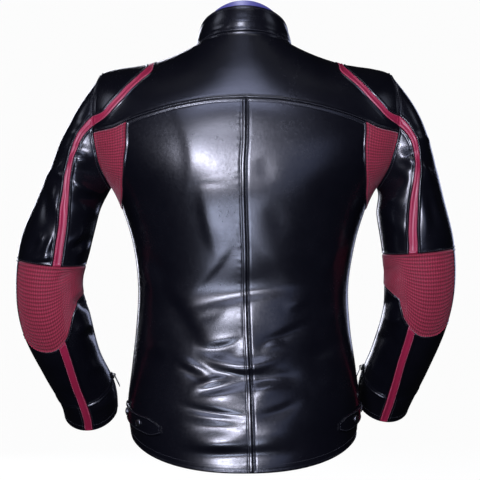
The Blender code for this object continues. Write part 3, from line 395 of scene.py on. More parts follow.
class Torso(Surface):
    """The body's surface on one side, by angle and level."""

    step = 0.02

    def __init__(self, side):
        self.mirror = self.turned = 1 if side == "left" else -1
        self.side = side

    def base(self, angle, level):
        turn = HEM_TWIST_DEG * np.clip(1 - level / TWIST_ENDS_AT_LEVEL, 0, 1) ** TWIST_EASE
        return ring_point(between(TORSO, level), angle + self.mirror * turn, self.mirror)

    def wall(self, angle, level):
        """Direction of the wall, halved with the sleeve's or the collar's at a seam."""
        away = self.out(angle, level)
        turn = np.degrees(np.arctan2((level - ARMHOLE_LEVEL) / ARMHOLE_HALF_LEVELS,
                                     angle / ARMHOLE_HALF_TURN_DEG))
        seam = armhole(turn)
        apart = np.hypot(seam[..., 0] - angle, (seam[..., 1] - level) * DEGREES_A_LEVEL)
        on_seam = apart < ON_SEAM_DEG
        if on_seam.any():
            beside = sleeves[self.side].out(turn, np.zeros_like(turn))
            away = np.where(on_seam[..., None], halved(away, beside), away)
        on_neck = level > NECK_LEVEL - ON_SEAM
        if on_neck.any():
            beside = collars[self.side].out(angle, np.zeros_like(angle))
            away = np.where(on_neck[..., None], halved(away, beside), away)
        return away


def halved(first, second):
    """Direction between two walls at their seam, longer so that both keep their depth."""
    middle = unit(first + second)
    return middle / np.maximum(np.sum(middle * first, axis=-1, keepdims=True), LEAST_MITRE)


def armhole(turn):
    """Angle and level of the armhole seam at a turn in degrees (0 back, 90 top)."""
    turn = np.radians(turn)
    return np.stack([ARMHOLE_HALF_TURN_DEG * np.cos(turn),
                     ARMHOLE_LEVEL + ARMHOLE_HALF_LEVELS * np.sin(turn)], axis=-1)


class Seam:
    """A line on a surface, by a number that counts the steps along it."""

    def __init__(self, steps, places):
        self.steps, self.places = np.asarray(steps, float), np.asarray(places, float)

    def at(self, step):
        return np.stack([np.interp(step, self.steps, self.places[:, k])
                         for k in (0, 1)], axis=-1)

    def back(self):
        return Seam(self.steps[-1] - self.steps[::-1], self.places[::-1])


def drawn(surface, rows, count):
    """A seam through a short table of surface coordinates, even along its length."""
    rows = np.asarray(rows, float)
    places = between(rows, np.linspace(0, len(rows) - 1, SEAM_SAMPLES * (len(rows) - 1) + 1))
    points = surface.base(places[:, 0], places[:, 1])
    lengths = np.linalg.norm(np.diff(points, axis=0), axis=1)
    travelled = summed(lengths)
    return Seam(travelled * count / travelled[-1], places)


def joined(*seams):
    """One seam from several that start where the last one ended."""
    steps, places, total = [], [], 0.0
    for seam in seams:
        steps.append(seam.steps + total)
        places.append(seam.places)
        total += seam.steps[-1]
    return Seam(np.concatenate(steps), np.concatenate(places))


def on_armhole(turns):
    """The armhole seam from the turns at its whole steps."""
    turns = np.asarray(turns, float)
    steps = np.linspace(0, len(turns) - 1, ARMHOLE_SAMPLES * (len(turns) - 1) + 1)
    return Seam(steps, armhole(np.interp(steps, np.arange(len(turns)), turns)))


def blended(lower, upper, left, right, down, over):
    """Surface coordinates between four seams at given steps along them."""
    s = (over / lower.steps[-1])[None, :, None]
    t = (down / left.steps[-1])[:, None, None]
    low, high = lower.at(over)[None], upper.at(over)[None]
    near, far = left.at(down)[:, None], right.at(down)[:, None]
    corners = ((1 - s) * (1 - t) * low[:, :1] + s * (1 - t) * low[:, -1:]
               + (1 - s) * t * high[:, :1] + s * t * high[:, -1:])
    return (1 - t) * low + t * high + (1 - s) * near + s * far - corners


# distances from a seam of the fine grid's lines beside it, and the most that the lines
# on one side take of a panel's width
SEAM_STEPS = np.array([0, 0.5, 1.0, 1.6, 2.3, 3.1, 4.0, 5.0, 6.0, 7.0, 8.4]) / 1000
MOST_BESIDE_SEAM = 0.42


def fine_steps(lengths, pitch):
    """Steps between 0 and the last one: close at both ends, even in between."""
    travelled = summed(lengths)
    total = travelled[-1]
    ends = SEAM_STEPS[SEAM_STEPS < total * MOST_BESIDE_SEAM]
    middle = max(1, round((total - 2 * ends[-1]) / pitch))
    wanted = np.concatenate([ends[:-1], np.linspace(ends[-1], total - ends[-1],
                                                    middle + 1), total - ends[-2::-1]])
    return np.interp(wanted, travelled, np.arange(len(travelled)))


def measured(points):
    """Mean lengths of the steps down and across a coarse grid."""
    down = np.linalg.norm(np.diff(points, axis=0), axis=2).mean(axis=1)
    over = np.linalg.norm(np.diff(points, axis=1), axis=2).mean(axis=0)
    return down, over


class Net:
    """Surface coordinates of a panel between four seams, by steps down and across."""

    def __init__(self, lower, upper, left, right, relax=0):
        self.seams = lower, upper, left, right
        self.rows, self.columns = round(left.steps[-1]), round(lower.steps[-1])
        whole = self.drafted(np.arange(self.rows + 1.0), np.arange(self.columns + 1.0))
        self.coarse = whole.copy()
        for _ in range(relax):
            self.coarse[1:-1, 1:-1] = (
                self.coarse[:-2, 1:-1] + self.coarse[2:, 1:-1]
                + self.coarse[1:-1, :-2] + self.coarse[1:-1, 2:]) / 4
        self.shift = self.coarse - whole

    def drafted(self, down, over):
        return blended(*self.seams, down, over)

    def domain(self, down, over):
        r = np.clip(np.floor(down).astype(int), 0, self.rows - 1)
        c = np.clip(np.floor(over).astype(int), 0, self.columns - 1)
        a, b = (down - r)[:, None, None], (over - c)[None, :, None]
        return self.drafted(down, over) + (
            (1 - a) * (1 - b) * self.shift[np.ix_(r, c)]
            + a * (1 - b) * self.shift[np.ix_(r + 1, c)]
            + (1 - a) * b * self.shift[np.ix_(r, c + 1)]
            + a * b * self.shift[np.ix_(r + 1, c + 1)])

    def laid_on(self, surface, pitch):
        """Points and wall directions of the fine grid, alike on the left and right."""
        lengths = measured(plain.base(self.coarse[..., 0], self.coarse[..., 1]))
        down, over = (fine_steps(length, pitch) for length in lengths)
        return laid(surface, self.domain(down, over))


def laid(surface, domain):
    first, second = domain[..., 0], domain[..., 1]
    return surface.point(first, second), surface.wall(first, second)


def seam_relief(apart):
    """Height beside a seam: the turned edge, its soft ridge and the stitches' groove."""
    return (-EDGE_ROLL * bell(apart, 0, EDGE_ROLL_WIDTH)
            + SEAM_RIDGE * bell(apart, RIDGE_FROM_SEAM, RIDGE_HALF_WIDTH)
            - GROOVE_DEPTH * bell(apart, GROOVE_FROM_SEAM, GROOVE_HALF_WIDTH))


def merged(grids):
    """Sheet from grids that share borders: points, directions, quads and border edges."""
    points = np.concatenate([p.reshape(-1, 3) for p, _ in grids])
    away = np.concatenate([w.reshape(-1, 3) for _, w in grids])
    _, first, back = np.unique(np.round(points * MERGE_CELLS).astype(np.int64), axis=0,
                               return_index=True, return_inverse=True)
    back = back.reshape(-1)
    quads, start = [], 0
    for p, w in grids:
        rows, columns = p.shape[:2]
        index = back[start:start + rows * columns].reshape(rows, columns)
        start += rows * columns
        cells = np.stack([index[:-1, :-1], index[:-1, 1:], index[1:, 1:],
                          index[1:, :-1]], axis=-1)
        face = np.cross(p[:-1, 1:] - p[:-1, :-1], p[1:, :-1] - p[:-1, :-1])
        if np.sum(face * w[:-1, :-1]) < 0:
            cells = cells[..., ::-1]
        quads.append(cells.reshape(-1, 4))
    quads = np.concatenate(quads)
    edges = np.stack([quads, np.roll(quads, -1, axis=1)], axis=-1).reshape(-1, 2)
    edges = edges[edges[:, 0] != edges[:, 1]]
    count = len(first)
    codes = edges[:, 0] * count + edges[:, 1]
    alone = edges[~np.isin(edges[:, 1] * count + edges[:, 0], codes)]
    return points[first], away[first], quads, alone, back


def as_faces(quads):
    """Lists of corners with the repeated ones left out."""
    faces = []
    for corners in quads.tolist():
        kept = [c for k, c in enumerate(corners) if c != corners[k - 1]]
        if len(set(kept)) == len(kept) and len(kept) > 2:
            faces.append(kept)
    return faces


def put_in_scene(name, mesh, node, material_slot):
    """Add a piece that rides on the jacket and, where it has a solid, stands for it."""
    thing = bpy.data.objects.new(name, mesh)
    bpy.context.scene.collection.objects.link(thing)
    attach(thing, "jacket")
    if node:
        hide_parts(node)
    return thing


def cut_size(grids, stacked):
    """Width, length and area of the flat cut of what shows of a piece."""
    across, down, area = [], [], 0.0
    for points, _ in grids:
        right, below = np.diff(points, axis=1), np.diff(points, axis=0)
        across.append(np.linalg.norm(right, axis=2).sum(axis=1).max())
        down.append(np.linalg.norm(below, axis=2).sum(axis=0).max())
        area += np.linalg.norm(np.cross(right[:-1], below[:, :-1]), axis=2).sum()
    bare = ((max(across), sum(down)) if stacked else (sum(across), max(down)))
    cut = [max(float(size), LEAST_CUT) for size in bare]
    return cut, float(min(area, cut[0] * cut[1]))


def cloth(node, grids, look, inside, wall=WALL, relief=seam_relief, sink=0.0,
          material_slot="black_leather", own=None, stacked=False):
    """A cut piece as a thin shell: crafted outside, plain lining side, turned edge."""
    points, away, quads, alone, back = merged(grids)
    tree = KDTree(len(alone))
    for number, start in enumerate(alone[:, 0]):
        tree.insert(points[start], number)
    tree.balance()
    apart = np.array([tree.find(p)[2] for p in points])
    height = relief(apart) - sink
    rise = np.zeros(len(points))
    if own is not None:
        rise[back] = own.reshape(-1)
        height += rise * smooth(*OWN_FORM_FROM_SEAM, apart)
    outer = points + away * height[:, None]
    inner = points - away * (wall + sink)
    count = len(points)
    rim = np.stack([alone[:, 1], alone[:, 0], alone[:, 0] + count, alone[:, 1] + count],
                   axis=-1)
    faces = as_faces(quads)
    outside = len(faces)
    faces += as_faces(quads[:, ::-1] + count)
    lined = len(faces)
    faces += rim.tolist()
    mesh = bpy.data.meshes.new(node + "_cloth")
    mesh.from_pydata(np.vstack([outer, inner]), [], faces)
    mesh.materials.append(look)
    mesh.materials.append(inside)
    slots = np.zeros(len(faces), int)
    slots[outside:lined] = 1
    mesh.polygons.foreach_set("material_index", slots)
    # each point's share of its own rise, which the ribbed fabric turns into painted shade in
    # its grooves and painted highlight on its crests
    share = np.clip(rise / max(rise.max(), 1e-9), 0, 1)
    mesh.attributes.new("raised", "FLOAT", "POINT").data.foreach_set(
        "value", np.concatenate([share, np.ones(count)]))
    mesh.update()
    mesh.shade_smooth()
    mesh.set_sharp_from_angle(angle=math.radians(CLOTH_SHARP_DEG))
    thing = put_in_scene(node + "_cloth", mesh, node, material_slot)
    cut, area = cut_size(grids, stacked)
    finished[node], start = [], 0
    for p, w in grids:
        size = p.shape[0] * p.shape[1]
        finished[node].append((outer[back[start:start + size]].reshape(p.shape), w))
        start += size


class Wire:
    """One socket of a material; sums and products of wires add its Math nodes."""

    def __init__(self, look, socket):
        self.look, self.socket = look, socket

    def with_math(self, operation, first, second):
        return self.look.node("ShaderNodeMath", {"operation": operation},
                              {0: first, 1: second})

    def __add__(self, other):
        return self.with_math("ADD", self, other)

    __radd__ = __add__

    def __sub__(self, other):
        return self.with_math("SUBTRACT", self, other)

    def __rsub__(self, other):
        return self.with_math("SUBTRACT", other, self)

    def __mul__(self, other):
        return self.with_math("MULTIPLY", self, other)

    __rmul__ = __mul__

    def __pow__(self, other):
        return self.with_math("POWER", self, other)


class Look:
    """A material with one Principled shader."""

    def __init__(self, name, **constants):
        self.material = bpy.data.materials.new(name)
        self.material.use_nodes = True
        self.tree = self.material.node_tree
        self.shader = self.tree.nodes["Principled BSDF"]
        for title, value in constants.items():
            self.shader.inputs[title.replace("_", " ").title().replace(
                "Ior", "IOR")].default_value = value
        self.place = self.node("ShaderNodeTexCoord", {}, {}, "Object")

    def node(self, kind, settings, sockets, output=0):
        """Any node: its settings first, then the values or wires of its sockets."""
        made = self.tree.nodes.new(kind)
        for title, value in settings.items():
            setattr(made, title, value)
        for title, value in sockets.items():
            self.feed(made.inputs[title], value)
        return Wire(self, made.outputs[output])

    def feed(self, socket, value):
        if isinstance(value, Wire):
            self.tree.links.new(value.socket, socket)
        elif hasattr(value, "__len__") and len(value) == 3 and socket.type == "RGBA":
            socket.default_value = (*value, 1)
        else:
            socket.default_value = value

    def set(self, title, value):
        self.feed(self.shader.inputs[title], value)

    def noise(self, scale, detail, roughness=0.5):
        return self.node("ShaderNodeTexNoise", {}, {
            "Vector": self.place, "Scale": scale, "Detail": detail,
            "Roughness": roughness}, "Fac")

    def bump(self, height, strength, distance):
        self.set("Normal", self.node("ShaderNodeBump", {}, {
            "Height": height, "Strength": strength, "Distance": distance}, "Normal"))

    def mixed(self, share, first, second):
        return self.node("ShaderNodeMix", {"data_type": "RGBA"},
                         {0: share, 6: first, 7: second}, 2)


def leather(name, dark, light, gloss):
    """Smooth finished cowhide: pebbled grain, fine wrinkles and worn sheen."""
    look = Look(name, specular_ior_level=0.5)
    pebbles = look.noise(scale=620.0, detail=3.0, roughness=0.6)
    grain = look.noise(scale=230.0, detail=3.0)
    broad = look.noise(scale=16.0, detail=3.0, roughness=0.55)
    look.set("Base Color", look.mixed(broad, dark, light))
    look.set("Roughness", gloss + broad * 0.10 + grain * 0.10 - 0.10)
    look.bump(pebbles * 0.22 + grain * 0.5, strength=0.135, distance=0.0009)
    return look.material


black_leather = leather("black_cowhide", dark=(0.0014, 0.0014, 0.0028),
                        light=(0.0042, 0.0042, 0.0064), gloss=0.25)


def satin(name, dark, light):
    """Woven lining with a silky sheen, and painted shade in the hollows of its folds."""
    look = Look(name, roughness=0.38, sheen_weight=0.4, sheen_roughness=0.3)
    weave = look.noise(scale=1400.0, detail=1.0)
    folds = look.noise(scale=30.0, detail=3.0)
    # Base Color follows the folds' bump: painted shade in their hollows, painted highlight on
    # their crests
    look.set("Base Color", look.mixed(folds, dark, light))
    look.bump(weave * 0.3 + folds, strength=0.15, distance=0.001)
    return look.material


# dark is the painted shade in the lining's fold hollows, light the painted highlight on their
# crests
violet_satin = satin("violet_satin", dark=(0.030, 0.028, 0.13), light=(0.085, 0.080, 0.27))

# steps along each seam, the same on both pieces that it joins
SIDE_STEPS = 13
UNDERARM_STEPS = 2
PRINCESS_STEPS = 6
BACK_STEPS = 9
FRONT_STEPS = 9
plain = Torso("left")
yoke_back = drawn(plain, YOKE_SEAM_BACK, BACK_STEPS)
princess = drawn(plain, PRINCESS_SEAM, PRINCESS_STEPS)
side_seam = drawn(plain, SIDE_SEAM, SIDE_STEPS)
back_levels = np.linspace(0, YOKE_SEAM_BACK[0][1], CENTRE_SAMPLES)
centre_back = drawn(plain, [(90.0, level) for level in back_levels],
                    SIDE_STEPS + PRINCESS_STEPS)
hem_back = Seam([0, BACK_STEPS], [(90.0, 0.0), (0.0, 0.0)])
under_turns = np.linspace(UNDERARM_DEG, YOKE_END_DEG, PRINCESS_STEPS + 1)
# outer points and directions of each finished piece, which the sewing follows
finished = {}
back_net = Net(hem_back, yoke_back, centre_back, joined(side_seam, princess))


def along_centre(points, welted):
    """Own heights beside the centre seam: no ridge, on the left a flat stitched welt."""
    apart = np.linalg.norm(np.diff(points, axis=1), axis=2)
    apart = np.hstack([np.zeros((len(points), 1)), np.cumsum(apart, axis=1)])
    height = -SEAM_RIDGE * bell(apart, RIDGE_FROM_SEAM, RIDGE_HALF_WIDTH)
    if not welted:
        return height
    down = summed(np.linalg.norm(np.diff(points[:, 0], axis=0), axis=1))[:, None]
    uneven = sum(np.sin(down * rate + start) for rate, start in PUCKER_DRIFT)
    drawn_in = bell(apart, WELT_WIDTH + PUCKER_FROM_WELT, PUCKER_HALF_WIDTH)
    return (height
            + WELT_HEIGHT * smooth(WELT_WIDTH + WELT_EDGE, WELT_WIDTH - WELT_EDGE, apart)
            - WELT_GROOVE_DEPTH * bell(apart, WELT_WIDTH, WELT_GROOVE_HALF_WIDTH)
            + PUCKER * drawn_in * np.sin(down * 2 * math.pi / PUCKER_PITCH + uneven))


for side in ("left", "right"):
    grid = back_net.laid_on(Torso(side), PITCH)
    cloth(f"back_{side}", [grid], black_leather, violet_satin,
          own=along_centre(grid[0], side == "left"))

# ---- sleeve surfaces ----
# A sleeve is a loft from the armhole, through a full cap, down tilted ovals to the cuff.
# Its creases bunch at the elbow's inside and pull from the armhole, unlike on each arm.
# stations from the end of the cap to the cuff; columns: x, y and z of the oval's middle,
# half width and half depth, lean and pitch in degrees
SLEEVE = {
    "left": np.array([
        (0.2681, 0.000, -0.2475, 0.0479, 0.0620, 15.0, 0.0),
        (0.2862, 0.002, -0.3032, 0.0527, 0.0590, 9.0, 3.0),
        (0.2964, -0.002, -0.3648, 0.0502, 0.0550, 0.0, 12.0),
        (0.2878, -0.024, -0.4215, 0.0532, 0.0540, -13.0, 28.0),
        (0.2680, -0.066, -0.4843, 0.0470, 0.0500, -20.0, 38.0),
        (0.2458, -0.104, -0.5344, 0.0454, 0.0470, -18.0, 41.0),
        (0.2406, -0.129, -0.5650, 0.0425, 0.0450, -12.0, 42.0),
    ]),
    "right": np.array([
        (0.2531, 0.000, -0.2473, 0.0524, 0.0620, 14.0, 0.0),
        (0.2642, 0.002, -0.3040, 0.0547, 0.0590, 6.0, 3.0),
        (0.2675, -0.002, -0.3618, 0.0536, 0.0550, -1.0, 12.0),
        (0.2617, -0.024, -0.4155, 0.0502, 0.0540, -14.0, 28.0),
        (0.2431, -0.064, -0.4766, 0.0470, 0.0500, -20.0, 38.0),
        (0.2255, -0.101, -0.5233, 0.0454, 0.0470, -19.0, 41.0),
        (0.2185, -0.125, -0.5530, 0.0410, 0.0440, -17.0, 40.0),
    ]),
}
CUFF_STATION = 7.0
# how the sleeve leaves the armhole; columns: outward, how much more at back and front,
# down, how much less there, fullness
CAP_LEAVE = {"left": (0.50, 0.30, 0.87, 0.43, 1.00),
             "right": (0.62, 0.20, 0.78, 0.34, 1.15)}
CAP_BULGE = 0.12
CAP_OUT_UNDER_ARM = 0.45
CAP_DOWN_UNDER_ARM = 0.89
PAST_CAP = 1.02
CREASES_WHOLE_AT = 0.45
# the stripe down the sleeve; columns: station, its middle and half width in degrees
STRIPE_ON_SLEEVE = np.array([
    (0.0, 20.5, 5.0), (0.5, 13.0, 6.0), (1.0, 0.0, 7.0), (1.6, -10.0, 6.6),
    (2.4, -15.0, 6.8), (4.6, -2.0, 7.2), (5.4, 8.0, 7.6), (6.0, 13.0, 7.8),
    (7.0, 11.0, 8.2),
])
STRIPE_SMOOTHING = np.array([-0.16, -0.08, 0.0, 0.08, 0.16])
STRIPE_SMOOTH_AT = 0.3
# elbow patch, one row a side: station of its top seam, and of its lower seam's low point
ELBOW = {"left": (2.43, 4.27), "right": (2.15, 4.02)}
# how many stations higher the lower seam is, at even turns from the underarm seam on
LOW_SEAM_LIFT = np.array([[1.00], [0.92], [0.70], [0.25], [0.03], [0.00], [0.08], [0.36]])
LIFT_STEP_DEG = 24.0
LIFT_FADE = 4
CUFF_ZIP_TOP = {"left": 5.75, "right": 5.70}
CUFF_ZIP_OPEN_DEG = 8.0
# columns: first station, last station, steps between them
SLEEVE_STEPS = ((0.0, 1.0, 6), (1.0, "top", 3), ("top", "low", 5), ("low", "zip", 4),
                ("zip", CUFF_STATION, 3))
STRIPE_STEPS = 5
ARMHOLE_FRONT_STEPS = 8
ARMHOLE_TOP_DEG = 110.0
ARMHOLE_LAST_STEP_DEG = 11.0
STRIPE_STARTS_DEG = 15.5
CAP_STARTS_DEG = 25.5
ARMHOLE_END_DEG = 270.0
stripe_turns = np.array([STRIPE_STARTS_DEG, CAP_STARTS_DEG])
cap_turns = np.linspace(CAP_STARTS_DEG, ARMHOLE_TOP_DEG, STRIPE_STEPS + 1)
front_turns = np.append(np.linspace(ARMHOLE_TOP_DEG, ARMHOLE_END_DEG - ARMHOLE_LAST_STEP_DEG,
                                    ARMHOLE_FRONT_STEPS), ARMHOLE_END_DEG)
ring_turns = np.concatenate([under_turns, stripe_turns, cap_turns[1:], front_turns[1:]])
STRIPE_COLUMN = len(under_turns)
CAP_COLUMN = STRIPE_COLUMN + 1
PATCH_COLUMN = CAP_COLUMN + 3
LAST_COLUMN = len(ring_turns) - 1
# same columns as the back's creases
SLEEVE_BACK_CREASES = {
    "left": [
        # short folds across the inner side and the stripe
        (222, -92, 262, -170, -4, 2.2, 8, 0.0),
        (214, -126, 268, -120, 4, -3.6, 7, 0.0),
        (206, -146, 266, -136, 4, 3.4, 6, 0.0),
        (204, -162, 264, -156, -3, -4.4, 7, 0.0),
        (206, -186, 268, -172, 2, 3.6, 5.5, 0.3),
        (202, -200, 270, -194, 3, -4.2, 7, 0.0),
        (214, -226, 262, -204, -4, 3.4, 5, 0.3),
        (204, -236, 272, -226, -3, -3.6, 7, 0.0),
        (206, -262, 262, -250, 2, 2.0, 8, 0.0),
        # outer side: folds down from the shoulder, a soft long one and a small sharp one
        (236, -118, 290, -214, -5, -2.6, 6, 0.0),
        (270, -118, 296, -178, -3, 3.4, 6, 0.0),
        (284, -196, 266, -204, 0, 2.4, 4, 0.0),
        (262, -178, 306, -216, 3, 3.0, 6, 0.0),
        (290, -214, 276, -280, -3, 4.0, 7, 0.0),
        (302, -206, 300, -276, -3, -3.2, 7, 0.0),
        # above the elbow: crumpled outside, a thin slanting ridge inside
        (284, -288, 300, -328, 2, 3.8, 5, 0.0),
        (300, -284, 314, -318, -2, 3.6, 5, 0.0),
        (290, -300, 326, -312, 2, -3.0, 5, 0.0),
        (278, -316, 322, -326, -3, 3.0, 5, 0.0),
        (266, -304, 236, -276, 2, 3.4, 4.5, 0.0),
        (262, -316, 230, -288, 2, -3.0, 5, 0.0),
        (256, -320, 232, -300, 2, 2.4, 5, 0.0),
        (236, -348, 286, -362, 6, -4.6, 8, 0.0),
        (232, -362, 270, -398, 5, 3.4, 8, 0.0),
        (230, -405, 256, -378, -2, -5.5, 8, 0.3),
        (222, -420, 262, -444, 4, 3.0, 9, 0.0),
        (214, -450, 240, -432, -2, -3.0, 7, 0.0),
        (228, -392, 222, -440, 0, 2.6, 6, 0.0),
        (204, -492, 250, -500, 4, 2.0, 9, 0.0),
        (250, -556, 290, -520, 3, -1.8, 8, 0.0),
        (196, -545, 240, -566, 4, 2.0, 7, 0.0),
    ],
    "right": [
        (-224, -84, -262, -150, 5, 2.4, 8, 0.0),
        (-208, -196, -244, -214, -3, -3.2, 8, 0.0),
        (-206, -222, -240, -244, 3, 2.4, 7, 0.0),
        (-232, -96, -284, -160, 5, -3.0, 6, 0.0),
        (-240, -140, -288, -152, -3, 3.6, 6, 0.3),
        (-228, -158, -262, -164, 6, -5.5, 5.5, 0.0),
        (-232, -178, -262, -192, -7, 4.2, 4.5, 0.3),
        (-222, -176, -252, -186, 3, -2.6, 6, 0.0),
        (-262, -168, -296, -192, 2, -3.0, 7, 0.0),
        (-268, -176, -284, -216, 3, 3.4, 7, 0.0),
        (-266, -220, -272, -300, -3, 2.6, 7, 0.0),
        (-280, -216, -304, -284, 4, 2.4, 5, 0.0),
        (-276, -230, -292, -280, 3, -2.0, 6, 0.0),
        (-208, -258, -250, -300, -4, 2.0, 9, 0.0),
        (-212, -318, -268, -310, 3, 2.6, 5, 0.0),
        (-202, -344, -236, -332, 3, -4.8, 7, 0.2),
        (-204, -364, -246, -352, 3, 3.2, 8, 0.0),
        (-206, -392, -244, -382, 2, -5.6, 7, 0.2),
        (-210, -418, -250, -408, 4, 3.2, 8, 0.0),
        (-196, -446, -232, -442, 3, -2.6, 8, 0.0),
        (-192, -470, -214, -520, 3, 2.2, 9, 0.0),
        (-180, -520, -228, -548, -3, 2.0, 8, 0.0),
    ],
}
SLEEVE_FRONT_CREASES = {
    "left": [
        (215, -150, 262, -196, -5, 3.0, 8, 0.0),
        (214, -176, 258, -224, -5, -3.0, 7, 0.0),
        (228, -210, 284, -262, -6, 2.6, 9, 0.0),
        (240, -300, 330, -330, -6, 3.2, 8, 0.0),
        (238, -330, 334, -350, -6, -4.2, 7, 0.0),
        (240, -356, 336, -368, -5, 4.0, 8, 0.0),
        (242, -382, 332, -386, -5, -4.4, 7, 0.0),
        (240, -408, 326, -404, -4, 3.6, 8, 0.0),
        (236, -432, 312, -424, -4, -3.2, 8, 0.0),
        (222, -500, 280, -520, -4, 2.2, 9, 0.0),
    ],
    "right": [
        (-212, -150, -256, -200, 5, 3.0, 8, 0.0),
        (-210, -178, -252, -226, 5, -3.0, 7, 0.0),
        (-226, -214, -280, -256, 6, 2.6, 9, 0.0),
        (-218, -296, -306, -320, 6, 3.2, 8, 0.0),
        (-214, -322, -308, -340, 6, -4.2, 7, 0.0),
        (-214, -350, -308, -362, 5, 4.0, 8, 0.0),
        (-216, -374, -306, -382, 5, -4.4, 7, 0.0),
        (-212, -402, -300, -398, 4, 3.6, 8, 0.0),
        (-206, -428, -288, -418, 4, -3.0, 8, 0.0),
        (-196, -486, -250, -512, 4, 2.2, 9, 0.0),
    ],
}


def lines(stops, lengths, pitch):
    """Fractional steps from the first stop to the last, close beside every stop."""
    runs = [np.array([float(stops[0])])]
    for start, stop in zip(stops[:-1], stops[1:]):
        part = lengths[start - stops[0]:stop - stops[0]]
        runs.append(start + fine_steps(part, pitch)[1:])
    return np.concatenate(runs)


class Sleeve(Surface):
    """One sleeve's surface, by turn in degrees round it and station down it."""

    def __init__(self, side):
        self.side = side
        self.mirror = 1 if side == "left" else -1
        self.table = SLEEVE[side]
        self.torso = Torso(side)
        self.back_creases = SLEEVE_BACK_CREASES[side]
        self.front_creases = SLEEVE_FRONT_CREASES[side]
        self.top, self.low = ELBOW[side]
        self.zip = CUFF_ZIP_TOP[side]
        stops = {"top": self.top, "low": self.low, "zip": self.zip}
        runs, self.row = [], {}
        for start, stop, count in SLEEVE_STEPS:
            self.row[start] = sum(len(run) for run in runs)
            first, final = (stops.get(name, name) for name in (start, stop))
            runs.append(np.linspace(first, final, count + 1)[:-1])
        self.stations = np.append(np.concatenate(runs), CUFF_STATION)
        self.row["cuff"] = len(self.stations) - 1

    def turns(self, station, columns):
        """Turn in degrees at fractional columns, one row for each station."""
        ring = np.interp(columns, np.arange(len(ring_turns)), ring_turns)
        knots = [UNDERARM_DEG, *stripe_turns, ARMHOLE_TOP_DEG, ARMHOLE_END_DEG]
        rows = []
        for place, centre, half in zip(station, *self.stripe(station)):
            opened = CUFF_ZIP_OPEN_DEG * np.clip(
                (place - self.zip) / (CUFF_STATION - self.zip), 0, 1)
            placed = [UNDERARM_DEG + opened, centre - half, centre + half,
                      ARMHOLE_TOP_DEG, ARMHOLE_END_DEG - opened]
            rows.append(np.interp(ring, knots, placed))
        return np.array(rows)

    def domain(self, rows, columns):
        """Turn and station at fractional steps down and round the sleeve."""
        columns = np.asarray(columns, float)
        station = np.interp(rows, np.arange(len(self.stations)), self.stations)
        patch_turns = self.turns(np.array([self.low]), np.minimum(columns, PATCH_COLUMN))[0]
        lifted = between(LOW_SEAM_LIFT, (patch_turns - UNDERARM_DEG) / LIFT_STEP_DEG)[:, 0]
        rest = np.clip((columns - PATCH_COLUMN) / (LAST_COLUMN - PATCH_COLUMN), 0, 1)
        first_turn = self.turns(np.array([self.low]), np.zeros(1))[0]
        first_lift = between(LOW_SEAM_LIFT, (first_turn - UNDERARM_DEG) / LIFT_STEP_DEG)[:, 0]
        lifts = lifted * (1 - rest) ** LIFT_FADE + first_lift * rest ** LIFT_FADE
        reach = np.where(station < self.low, self.low - self.top, self.zip - self.low)
        share = np.clip(1 - abs(station - self.low) / reach, 0, 1)
        moved = station[:, None] - lifts[None, :] * share[:, None]
        return np.stack([self.turns(station, columns), moved], axis=-1)

    def grid(self, row_stops, column_stops):
        """Fine grid between whole rows and columns; each stop is a line of it."""
        rows = np.arange(row_stops[0], row_stops[-1] + 1.0)
        columns = np.arange(column_stops[0], column_stops[-1] + 1.0)
        coarse = self.domain(rows, columns)
        down, over = measured(self.base(coarse[..., 0], coarse[..., 1]))
        return laid(self, self.domain(lines(row_stops, down, PITCH),
                                      lines(column_stops, over, PITCH)))

    def tube(self, turn, station):
        """Point of the sleeve's tilted ovals, as on the wearer's left."""
        x, y, z, half_width, half_depth, lean, pitch = np.moveaxis(
            between(self.table, station - 1), -1, 0)
        lean, pitch, turn = np.radians(lean), np.radians(pitch), np.radians(turn)
        zero = np.zeros_like(lean)
        outward = np.stack([np.cos(lean), zero, np.sin(lean)], axis=-1)
        backward = np.stack([zero, np.cos(pitch), -np.sin(pitch)], axis=-1)
        skew = np.sum(outward * backward, axis=-1, keepdims=True)
        backward = unit(backward - skew * outward)
        return (np.stack([x, y, z], axis=-1)
                + outward * (half_width * np.sin(turn))[..., None]
                + backward * (half_depth * np.cos(turn))[..., None])

    def base(self, turn, station):
        turn, station = np.broadcast_arrays(np.asarray(turn, float),
                                            np.asarray(station, float))
        sides = np.array([self.mirror, 1, 1])
        seam = armhole(turn)
        start = self.torso.point(seam[..., 0], seam[..., 1]) * sides
        end = self.tube(turn, np.ones_like(station))
        ahead = self.tube(turn, np.full_like(station, PAST_CAP))
        level_part = abs(np.cos(np.radians(turn)))
        out, out_flat, down, down_flat, fullness = CAP_LEAVE[self.side]
        under = np.clip(-np.sin(np.radians(turn)), 0, 1)
        leave = np.stack(
            [out + out_flat * level_part - (out - CAP_OUT_UNDER_ARM) * under,
             CAP_BULGE * np.cos(np.radians(turn)),
             -down + down_flat * level_part - (CAP_DOWN_UNDER_ARM - down) * under], axis=-1)
        length = np.linalg.norm(end - start, axis=-1, keepdims=True)
        leave = unit(leave) * length * fullness
        arrive = unit(ahead - end) * length
        t = np.clip(station, 0, 1)[..., None]
        cap = ((2 * t ** 3 - 3 * t ** 2 + 1) * start + (t ** 3 - 2 * t ** 2 + t) * leave
               + (3 * t ** 2 - 2 * t ** 3) * end + (t ** 3 - t ** 2) * arrive)
        tube = self.tube(turn, np.maximum(station, 1.0))
        return np.where(station[..., None] < 1, cap, tube) * sides

    def out(self, turn, station):
        small_turn, small = 0.05, 0.004
        across = self.base(turn + small_turn, station) - self.base(turn - small_turn, station)
        down = self.base(turn, station + small) - self.base(
            turn, station - np.minimum(small, station))
        return unit(np.cross(across, down)) * self.mirror

    def raised(self, place, away):
        """Creases fade out at the armhole, where the body's own run into the seam."""
        high = super().raised(place, away)
        return place + (high - place) * self.fading[..., None]

    def point(self, turn, station):
        self.fading = smooth(0.0, CREASES_WHOLE_AT, station) * np.ones_like(turn)
        return super().point(turn, station)

